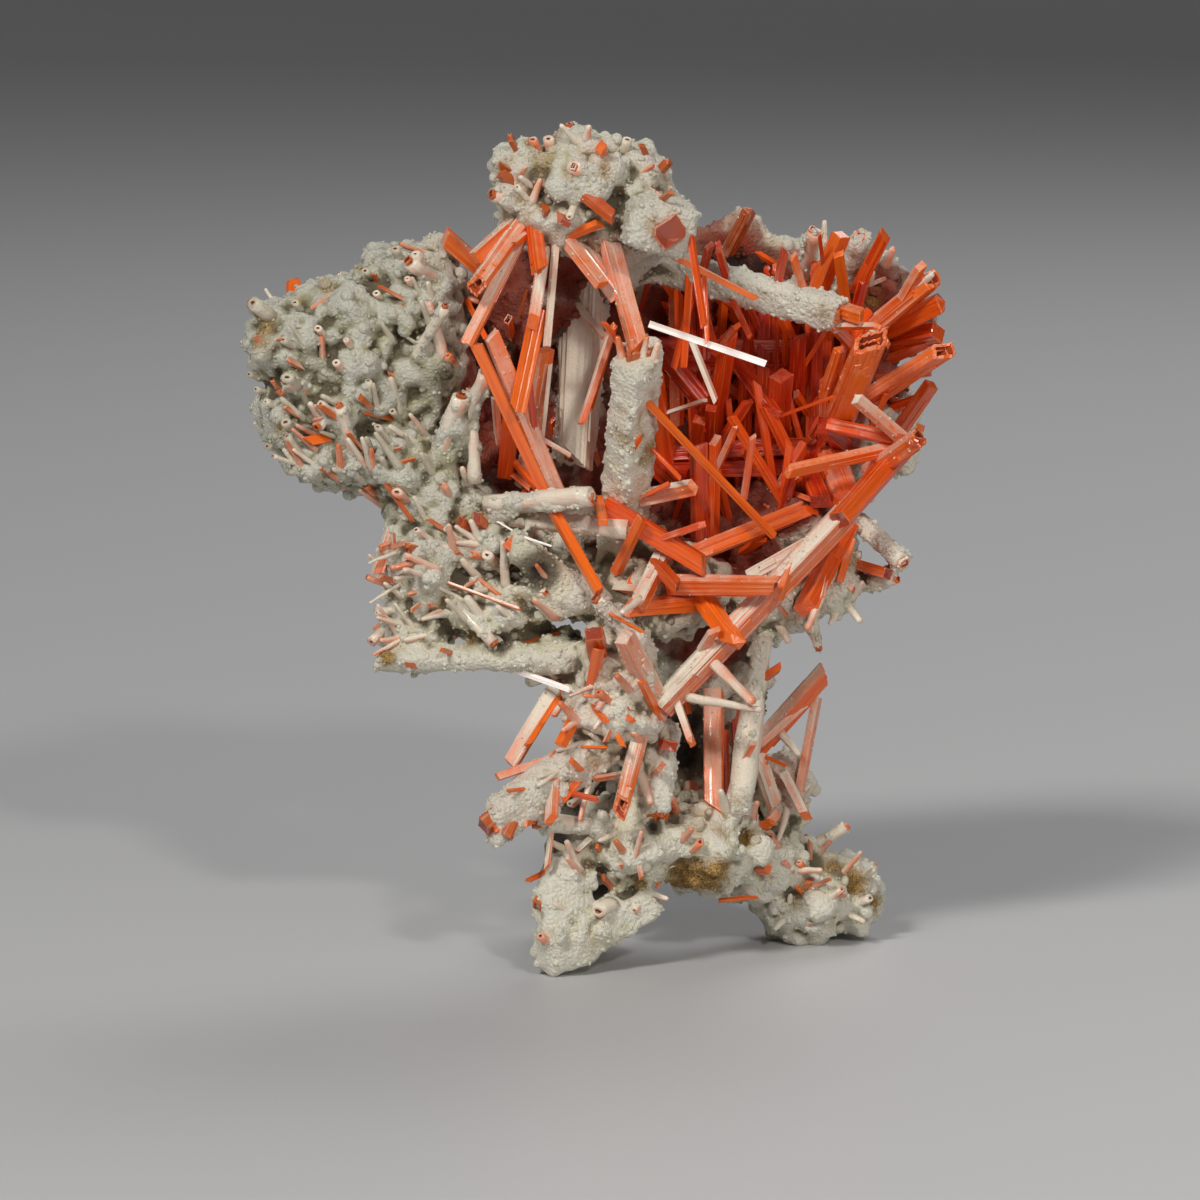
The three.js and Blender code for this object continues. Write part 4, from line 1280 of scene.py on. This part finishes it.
def scatter(name, rows, tree, paint):
    """The bare crystals and the coated fingers of these rows, in one piece."""
    cluster = Cluster(name)
    for row in rows:
        column, line, _, _, width, end, look, _ = row
        dice = random.Random(int(column * 3 + line))
        roll = dice.uniform(0, 1.5)
        slope = dice.choice([-1, 1]) * dice.uniform(0.4, 1.1)
        reach = stub_ends(row, tree)
        if reach is None:
            continue
        if end in ("tube", "needle"):
            coats = WING_COATS if column < WING_END_COLUMN and line < WING_END_ROW else COATS
            cluster.finger(*reach, width * FINGER_WIDTH, end, dice.choice(coats), dice)
            continue
        width *= THINNED
        if end == "slant" and tree is crust_tree and paint is orange_crystal:
            width *= THINNED_ON_CRUST
        cluster.crystal(*reach, width, end, look, roll, slope, dice)
    return cluster.finished(paint)


all_tree = tree_of(crust.data, *[piece.data for piece in large.values()])
SCATTERED = {
    "wing_stubs": (WING, crust_tree, orange_crystal), "shelf_stubs": (SHELF, crust_tree, orange_crystal),
    "crown_stubs": (CROWN, crust_tree, orange_crystal), "bowl_prisms": (bowl_fill, crust_tree, deep_crystal),
    "bowl_splinters": (BOWL, all_tree, deep_crystal), "rim_splinters": (RIM, all_tree, orange_crystal),
    "stem_splinters": (STEM, all_tree, orange_crystal), "base_stubs": (BASE, crust_tree, orange_crystal),
    "thicket_stubs": (thicket_rows(), crust_tree, orange_crystal),
}
for name, (rows, tree, paint) in SCATTERED.items():
    scatter(name, rows, tree, paint)
print("small crystals:", sum(len(rows) for rows, _, _ in SCATTERED.values()))

# %% Skins of the thin coated prisms, cores of all but the widest, and two broad blades
WIDEST_ROD = 2.3
WIDEST_CORED = 5
CORE_WIDTH = 0.56
BLADES = [(at(586, 286, 6), at(577, 457, 1), 3.4), (at(568, 300, 7), at(570, 430, 3), 2.0)]
cores = Cluster("coated_prism_cores")
for row in COATED:
    root, tip = ends_of(row)
    away = (tip - root).normalized()
    width = row[6]
    dice = random.Random(int(row[0] + row[1]))
    look = dice.choice(["rust", "rust", "salmon", "pink"])
    if width <= WIDEST_ROD:
        cores.finger(root, tip, width, "tube", "finger", dice)
    if width <= WIDEST_CORED:
        start, end = tip - away * 2.2 * MM, tip + away * 0.32 * MM
        cores.crystal(start, end, width * CORE_WIDTH, "hollow", look, dice.uniform(0, 1.5), 0.0, dice)
for root, tip, width in BLADES:
    cores.crystal(root, tip, width, "slant", "finger", 0.1, 0.9, random.Random(8))
cores.finished(orange_crystal)
print("coated prisms:", len(COATED))

# %% Stubs of the back
back = Cluster("back_stubs")
for i, (root, tip, width, kind) in enumerate(back_stubs):
    dice = random.Random(2000 + i)
    if kind == "slant":
        look = dice.choice(["salmon", "orange", "bright"])
        back.crystal(root, tip, width, kind, look, dice.uniform(0, 1.5), 0.3, dice)
    else:
        back.finger(root, tip, width, kind, dice.choice(COATS), dice)
back.finished(orange_crystal)
print("stubs of the back:", len(back_stubs))

# %% [markdown]
# ## The crust's finish
# Gibbsite is white, but the specimen's crust is grey-green on the wing, cream on the shelf and nearly
# white on the stem; the wing's grey, deeper higher up, is partly painted shade. It takes a salmon blush
# next to the crystals, and the hollow's back wall a maroon that is partly painted shade. It is ochre
# where iron has soaked in. Painted shade darkens its creases, the shelter between the limbs and a few
# spots of painted shadow, and painted light brightens the open knobs. Four numbers at each point of the
# skin carry that, and noise breaks up their edges in the shader, where the bead tops get a painted highlight.

# %% Stains, and spots of painted shadow: column, row, radius, strength, and for some a depth
OCHRE = table("""
697 878 3.2 1; 682 884 2.4 0.9; 716 872 2 0.9; 745 838 1.8 0.8; 856 886 2.2 0.9; 838 868 1.6 0.6;
776 842 1 0.6; 876 908 1.8 0.6; 513 675 1.8 0.7; 505 175 1.4 0.6; 515 150 1.4 0.7; 533 152 1.2 0.7;
642 158 1 0.7; 665 172 1.2 0.6; 268 330 2 0.5; 262 345 2.2 0.5; 465 525 1.2 0.9; 480 522 1.2 0.9;
400 492 1.4 0.7; 620 440 1.8 0.45; 650 452 2 0.5; 586 862 1.6 0.5; 548 928 1.4 0.5; 797 905 1 0.5;
833 927 1 0.5; 820 320 1.6 0.5; 400 520 2.2 0.4; 300 470 1.6 0.4; 762 700 1.4 0.4; 736 800 1.4 0.5;
690 830 1.8 0.4; 470 640 1.4 0.4; 390 656 1.2 0.8; 590 640 1.4 0.5; 870 300 1.4 0.4; 640 600 1.2 0.35;
540 168 1.6 0.45; 556 146 1.4 0.5; 596 146 1.2 0.5; 572 186 1.4 0.45; 618 196 1.6 0.35; 524 206 1.4 0.45;
654 190 1.2 0.4; 604 176 1 0.5; 330 292 1.6 0.45; 300 306 1.4 0.4; 362 270 1.2 0.4; 284 432 1.6 0.45;
324 478 1.6 0.45; 372 500 1.6 0.5; 440 262 1.2 0.45; 418 330 1.2 0.35; 270 376 1.4 0.4; 430 560 1.8 0.45;
392 590 1.6 0.45; 452 600 1.6 0.4; 500 560 1.4 0.4; 520 600 1.6 0.4; 412 628 1.4 0.4; 540 620 1.4 0.4;
610 668 1.6 0.35; 570 720 1.6 0.35; 540 790 1.4 0.35; 632 760 1.2 0.35; 746 740 1.2 0.35; 786 700 1.2 0.4;
800 760 1.4 0.35; 640 880 1.4 0.4; 720 830 1.4 0.4; 806 884 1.4 0.5; 770 880 1.2 0.4; 558 880 1.4 0.35;
590 930 1.2 0.35; 900 470 1.4 0.4; 850 560 1.4 0.45; 820 600 1.4 0.4; 790 620 1.4 0.45; 906 262 1.2 0.4;
800 240 1.2 0.35; 760 290 1.4 0.4
""")
# Painted shadow: spots painted dark brown to near black where openings and deep recesses lie in shade.
PAINTED_SHADOW_SPOTS = table("""
683 755 3 1; 688 722 2.6 1; 576 802 3.6 0.95 9.5; 590 786 2.8 0.95 7; 560 842 3.2 0.95 12.2;
540 572 2.4 0.9; 502 640 1.5 0.9; 745 345 1.6 1; 735 262 3.6 1; 715 250 2.4 0.9; 760 262 2.4 0.9;
840 870 1.8 0.7; 600 890 2.8 0.95 10.6; 653 825 1 1; 706 765 1.8 0.8; 470 460 1.8 0.7; 448 380 1.6 0.6;
520 430 2.4 0.7; 560 330 2.2 0.7; 770 700 2 0.7; 640 610 1.6 0.7
""")


def near_spots(places, rows):
    """For each point, how much of any spot's strength reaches it."""
    amount = np.zeros(len(places))
    for column, row, radius, strength, *depth in rows:
        centre = np.array(at(column, row, depth[0] if depth else surface_depth(column, row, crust_tree)))
        distance = np.linalg.norm(places - centre, axis=1) / (radius * MM)
        amount = np.maximum(amount, strength * np.exp(-(distance**2)))
    return amount


print("stains and hollows:", len(OCHRE), "and", len(PAINTED_SHADOW_SPOTS))

# %% Creases and shelter, which set the painted shade
CREASE_DEPTHS = {3: 0.16 * MM, 18: 0.55 * MM}
OPEN_CREASE = 0.35
SHELTER_RAYS = 8


def averager(mesh):
    """A function that gives, for each point of the mesh, the mean of its neighbours' values."""
    edges = np.empty(len(mesh.edges) * 2, np.int64)
    mesh.edges.foreach_get("vertices", edges)
    a, b = edges.reshape(-1, 2).T
    size = len(mesh.vertices)
    count = np.bincount(np.concatenate([a, b]), minlength=size)

    def around(values):
        total = [np.bincount(a, v[b], size) + np.bincount(b, v[a], size) for v in values.T]
        return np.array(total).T / count[:, None]

    return around


def creases(around, places, normals):
    """Painted shade: from 0 on a knob to 1 in the creases, by how far the means of near and wider neighbours
    stand out.
    """
    softened = places
    hollow = np.zeros(len(places))
    for step in range(1, max(CREASE_DEPTHS) + 1):
        softened = around(softened)
        if step in CREASE_DEPTHS:
            hollow += ((softened - places) * normals).sum(1) / CREASE_DEPTHS[step]
    return np.clip(OPEN_CREASE + 0.5 * hollow, 0, 1)


def shelter(around, places, normals, tree, reach):
    """Painted shade like ambient occlusion: from 0 in the open to 1 deep between the limbs, by how many lines
    from a point soon meet something.
    """
    ways = [Vector(seeded.normal(size=3)).normalized() for _ in range(SHELTER_RAYS)]
    met = np.zeros(len(places))
    for i, (spot, normal) in enumerate(zip(places, normals)):
        normal = Vector(normal)
        start = Vector(spot) + normal * 0.15 * MM
        rays = [way if way.dot(normal) > 0 else -way for way in ways]
        met[i] = sum(tree.ray_cast(start, ray, reach)[0] is not None for ray in rays) / SHELTER_RAYS
    for _ in range(3):
        met = around(met[:, None])[:, 0]
    return met


crust_places, crust_normals = points_of(crust.data)
around = averager(crust.data)
occlusion_shade = shelter(around, crust_places, crust_normals, all_tree, 5 * MM)
print("mean shelter:", round(float(occlusion_shade.mean()), 3))

# %% Blush of the crystals, and maroon with painted shade on the hollow's back wall
BLUSH_REACH = 4.5 * MM
SAMPLES_ALONG = 24
MAROON_ELLIPSES = [  # column, row, half wide, half high
    (550, 385, 84, 130), (655, 530, 62, 56), (885, 330, 52, 66), (705, 590, 80, 70), (726, 244, 40, 40),
    (776, 268, 60, 24), (*BOWL_MIDDLE, *BOWL_REACH),
]
RECESS_MIDDLE, RECESS_REACH = (748, 250), (60, 36)
DEEPEST_MAROON = 24


def near_crystals(places, reach):
    """From 1 at a large crystal to 0 at the reach."""
    lines = map(ends_of, SPRAYS + BOWL_LINING)
    samples = [a.lerp(b, s) for a, b in lines for s in np.linspace(0, 1, SAMPLES_ALONG)]
    tree = KDTree(len(samples))
    for i, spot in enumerate(samples):
        tree.insert(spot, i)
    tree.balance()
    distances = np.array([tree.find(p)[2] for p in places])
    return np.clip(1.2 - distances / reach, 0, 1)


def hollow_maroon_and_shade(places, normals):
    """Maroon that is partly painted shade: more than 1 on the hollow's back wall, rising with depth, and 0
    outside it and on the prisms that cross it.
    """
    column, row, depth = elevation_of(places)
    reach = np.full(len(places), np.inf)
    for c, r, wide, high in MAROON_ELLIPSES:
        reach = np.minimum(reach, np.hypot((column - c) / wide, (row - r) / high))
    recess = np.abs(column - RECESS_MIDDLE[0]) < RECESS_REACH[0]
    recess &= np.abs(row - RECESS_MIDDLE[1]) < RECESS_REACH[1]
    faces_viewer = normals[:, 1] < np.where(recess, 0.6, 0.15)
    deep = np.clip((depth - 0.5) / 2, 0, 1) * (depth < DEEPEST_MAROON) * faces_viewer
    return 1.3 * np.clip((1.25 - reach) * 4, 0, 1) * deep * (prism_nearness(places, COATED) > 0.8)


stain = near_spots(crust_places, OCHRE)
# The blush carries the salmon next to the crystals and the hollow's maroon, which is partly painted shade.
blush = near_crystals(crust_places, BLUSH_REACH) + hollow_maroon_and_shade(crust_places, crust_normals)
print("mean stain and blush:", stain.mean().round(3), blush.mean().round(3))

# %% Tones of the skin, painted shade among them
USUAL_SHELTER = 0.38
CROWN_GREY = 0.55


def keep_tone(mesh, tone):
    """Writes the four tones of each point."""
    layer = mesh.attributes.new("tone", "FLOAT_COLOR", "POINT")
    layer.data.foreach_set("color", np.ascontiguousarray(tone, np.float32).ravel())


# Painted shade: darker in creases and where rays soon meet something, a little less on faces turned away from
# the viewer, and near black at the spots of painted shadow.
crease_shade = 1.05 * creases(around, crust_places, crust_normals) + 0.8 * (occlusion_shade - USUAL_SHELTER)
crease_shade *= 1 - 0.35 * np.clip((crust_normals[:, 1] + 0.3) / 0.5, 0, 1)
crease_shade = np.maximum(np.clip(crease_shade, 0, 1), 1.7 * near_spots(crust_places, PAINTED_SHADOW_SPOTS))
# Greyer to the left and higher up the wing, partly the crust's own grey-green and partly painted shade, and
# grey on the crown's top.
left, up = -crust_places[:, 0] / MM, crust_places[:, 2] / MM
wing_grey_and_shade = np.clip((left - 2) / 18, 0, 1) * np.clip((up - 34) / 12, 0.25, 1)
wing_grey_and_shade = np.maximum(wing_grey_and_shade, CROWN_GREY * np.clip((up - 64) / 8, 0, 1))
tone = np.stack([stain, blush, crease_shade, wing_grey_and_shade], axis=1).astype(np.float32)
keep_tone(crust.data, tone)
print("crust tones: mean", tone.mean(0).round(2))

# %% [markdown]
# ## Knobs and grains
# Close up, the crust is sugary. Knobs of half a millimetre stand on the skin, and grains a fifth of a
# millimetre across sit on every one of them, too fine for the remesh to keep. Both are meshes of their
# own, copies of a sphere sunk in the skin, each with the tone of the point that it sits on and painted
# shade towards its foot, lighter on its top. Some of the grains also dust the frosted prisms.

# %% Knobs that stand on the skin
KNOBS_ON_MASSES = 1500
KNOBS_ON_PRISMS = 850
KNOB_SUNK = 0.30
BARE_FOOT = 0.9 * MM
SEEN_SIDE_WEIGHT = 3.0


def balls_with_tone_and_shade(name, template, places, normals, sizes, tones):
    """Balls in one mesh with the tones of the points that they sit on, and painted shade towards the skin."""
    made = strewn(template, places, sizes, name)
    corners = len(made.vertices) // len(places)
    points, _ = points_of(made)
    outward = (points - np.repeat(places, corners, 0)) / np.repeat(sizes, corners)[:, None]
    height = (outward * np.repeat(normals, corners, 0)).sum(1)
    tones = np.repeat(tones, corners, 0)
    # Painted shade: each ball darker at its foot and lighter on its top.
    tones[:, 2] = np.clip(tones[:, 2] + 0.15 - 0.55 * height, 0, 1.7)
    bm = bmesh.new()
    bm.from_mesh(made)
    for face in bm.faces:
        face.smooth = True
    piece = as_object(name, bm)
    keep_tone(piece.data, tones)
    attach(piece, "root")
    print(name, len(places), "with", len(piece.data.polygons), "faces")
    return piece


def skin_picks(chosen, count, pull):
    """Points of the skin at random, three times as many on the side that is seen."""
    weight = chosen * np.where(crust_normals[:, 1] < 0.2, SEEN_SIDE_WEIGHT, 1.0) * (1 + pull * stain)
    weight *= crust_places[:, 2] > BARE_FOOT
    return seeded.choice(len(crust_places), count, p=weight / weight.sum())


coated_points = prism_nearness(crust_places, COATED) < 0.75
picks = [skin_picks(~coated_points, KNOBS_ON_MASSES, 0), skin_picks(coated_points, KNOBS_ON_PRISMS, 0)]
picks = np.concatenate(picks)
sizes = [0.30 + 0.50 * seeded.rand(KNOBS_ON_MASSES) ** 2, 0.18 + 0.16 * seeded.rand(KNOBS_ON_PRISMS)]
sizes = np.concatenate(sizes) * MM
spots = crust_places[picks] - crust_normals[picks] * (sizes * KNOB_SUNK)[:, None]
knobs = balls_with_tone_and_shade("crust_knobs", ball(2), spots, crust_normals[picks], sizes, tone[picks])

# %% Sugar grains
SKIN_GRAINS = 8000
PRISM_DUST = 1600
PULL_OF_STAINS = 4
DUSTED_FROST = 0.55
SMALLEST_DUSTED = 0.01 * MM**2
DUST_TONE = np.array([0, 0.55, 0.2, 0], np.float32)


def dust_spots(count):
    """Points and normals at random on the frosted faces of the large crystals, taken in order of place."""
    faces = []
    for piece in large.values():
        mesh = piece.data
        finish = mesh.attributes["finish"].data
        for face in mesh.polygons:
            frost = sum(finish[i].color[0] for i in face.loop_indices) / face.loop_total
            if frost > DUSTED_FROST and face.area > SMALLEST_DUSTED:
                corners = sorted(tuple(mesh.vertices[v].co) for v in face.vertices)
                faces.append((corners, tuple(face.normal), face.area * (frost - 0.4)))
    faces.sort()
    weights = np.array([weight for _, _, weight in faces])
    places, normals = [], []
    for pick in seeded.choice(len(faces), count, p=weights / weights.sum()):
        corners, normal, _ = faces[pick]
        places.append(seeded.dirichlet(np.ones(len(corners))) @ np.array(corners))
        normals.append(normal)
    return np.array(places), np.array(normals)


picks = skin_picks(np.ones(len(crust_places)), SKIN_GRAINS, PULL_OF_STAINS)
dust_places, dust_normals = dust_spots(PRISM_DUST)
sizes = [0.12 + 0.16 * seeded.rand(SKIN_GRAINS) ** 2, 0.06 + 0.10 * seeded.rand(PRISM_DUST) ** 2]
sizes = np.concatenate(sizes) * MM
grains = balls_with_tone_and_shade(
    "crust_grains", ball(1), np.concatenate([crust_places[picks], dust_places]),
    np.concatenate([crust_normals[picks], dust_normals]), sizes,
    np.concatenate([tone[picks], np.tile(DUST_TONE, (PRISM_DUST, 1))]),
)

# %% Crust material
CREAM, GREY_GREEN_AND_SHADE = (0.94, 0.88, 0.68, 1), (0.41, 0.40, 0.285, 1)
SPECK, PAINTED_BEAD_HIGHLIGHT, OLIVE = (0.52, 0.45, 0.28, 1), (0.93, 0.92, 0.85, 1), (0.62, 0.57, 0.30, 1)
# Painted shade and painted light for creases and open knobs, a maroon that is partly painted shade, and
# painted deep shadow.
SALMON, SHADE, PAINTED_OPEN_LIGHT = (0.78, 0.40, 0.28, 1), (0.12, 0.09, 0.050, 1), (0.93, 0.91, 0.84, 1)
MAROON_AND_SHADE, PAINTED_DEEP_SHADOW = (0.28, 0.030, 0.009, 1), (0.020, 0.010, 0.006, 1)
DARK_OCHRE, LIGHT_OCHRE = (0.20, 0.095, 0.022, 1), (0.64, 0.40, 0.12, 1)
crust_paint, tree, shader = new_paint("gibbsite crust")
tones = wired(tree, "ShaderNodeAttribute", attribute_name="tone").outputs
stained, blush_and_hollow_shade, painted_shade_and_light = wired(tree, "ShaderNodeSeparateColor", {0: tones["Color"]}).outputs
beads, patches, specks = gritty(tree, 2.6)
uneven = minus(tree, patches, 0.5)
grey = plus(tree, tones["Alpha"], times(tree, uneven, 0.8), True)
uneven_blush_and_shade = plus(tree, blush_and_hollow_shade, uneven)
body = layered(tree, mixed(tree, grey, CREAM, GREY_GREEN_AND_SHADE), [
    (specks, 0.36, 0.60, 0.40, 0, SPECK),
    # Painted highlight: lighter on the beads' tops, where the bump is highest.
    (beads, 0.55, 0.95, 0, 0.35, PAINTED_BEAD_HIGHLIGHT),
    (uneven, 0.02, 0.18, 0, 0.50, OLIVE),
    (uneven_blush_and_shade, 0.25, 1.2, 0, 0.36, SALMON),
    # Painted shade in creases, painted light on open knobs, the hollow's maroon with painted shade, and
    # painted deep shadow in the darkest spots.
    (painted_shade_and_light, 0.38, 0.95, 0, 0.90, SHADE),
    (painted_shade_and_light, 0.0, 0.38, 0.45, 0, PAINTED_OPEN_LIGHT),
    (uneven_blush_and_shade, 0.95, 1.45, 0, 0.94, MAROON_AND_SHADE),
    (painted_shade_and_light, 1.0, 1.5, 0, 0.94, PAINTED_DEEP_SHADOW),
])
soaked = ranged(tree, plus(tree, stained, times(tree, uneven, 0.8)), 0.15, 0.75)
ochre = mixed(tree, ranged(tree, specks, 0.38, 0.62), DARK_OCHRE, LIGHT_OCHRE)
tree.links.new(mixed(tree, soaked, body, ochre), shader.inputs["Base Color"])
tree.links.new(ranged(tree, specks, 0.3, 0.7, 0.50, 0.85), shader.inputs["Roughness"])
bumped(tree, shader, plus(tree, beads, times(tree, specks, 1.2)), strength=1.0, distance=0.22 * MM)
for piece in (crust, knobs, grains):
    piece.data.materials.append(crust_paint)
print("crust material has", len(tree.nodes), "nodes")

# %% The solid model's box beside the scene's
visual_box = [list(corner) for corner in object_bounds()]
for axis, label in enumerate("XYZ"):
    solid, visual = ([round(c[axis] / MM, 2) for c in box] for box in (cad_box, visual_box))
    print(label, "solid", solid, "visual", visual)
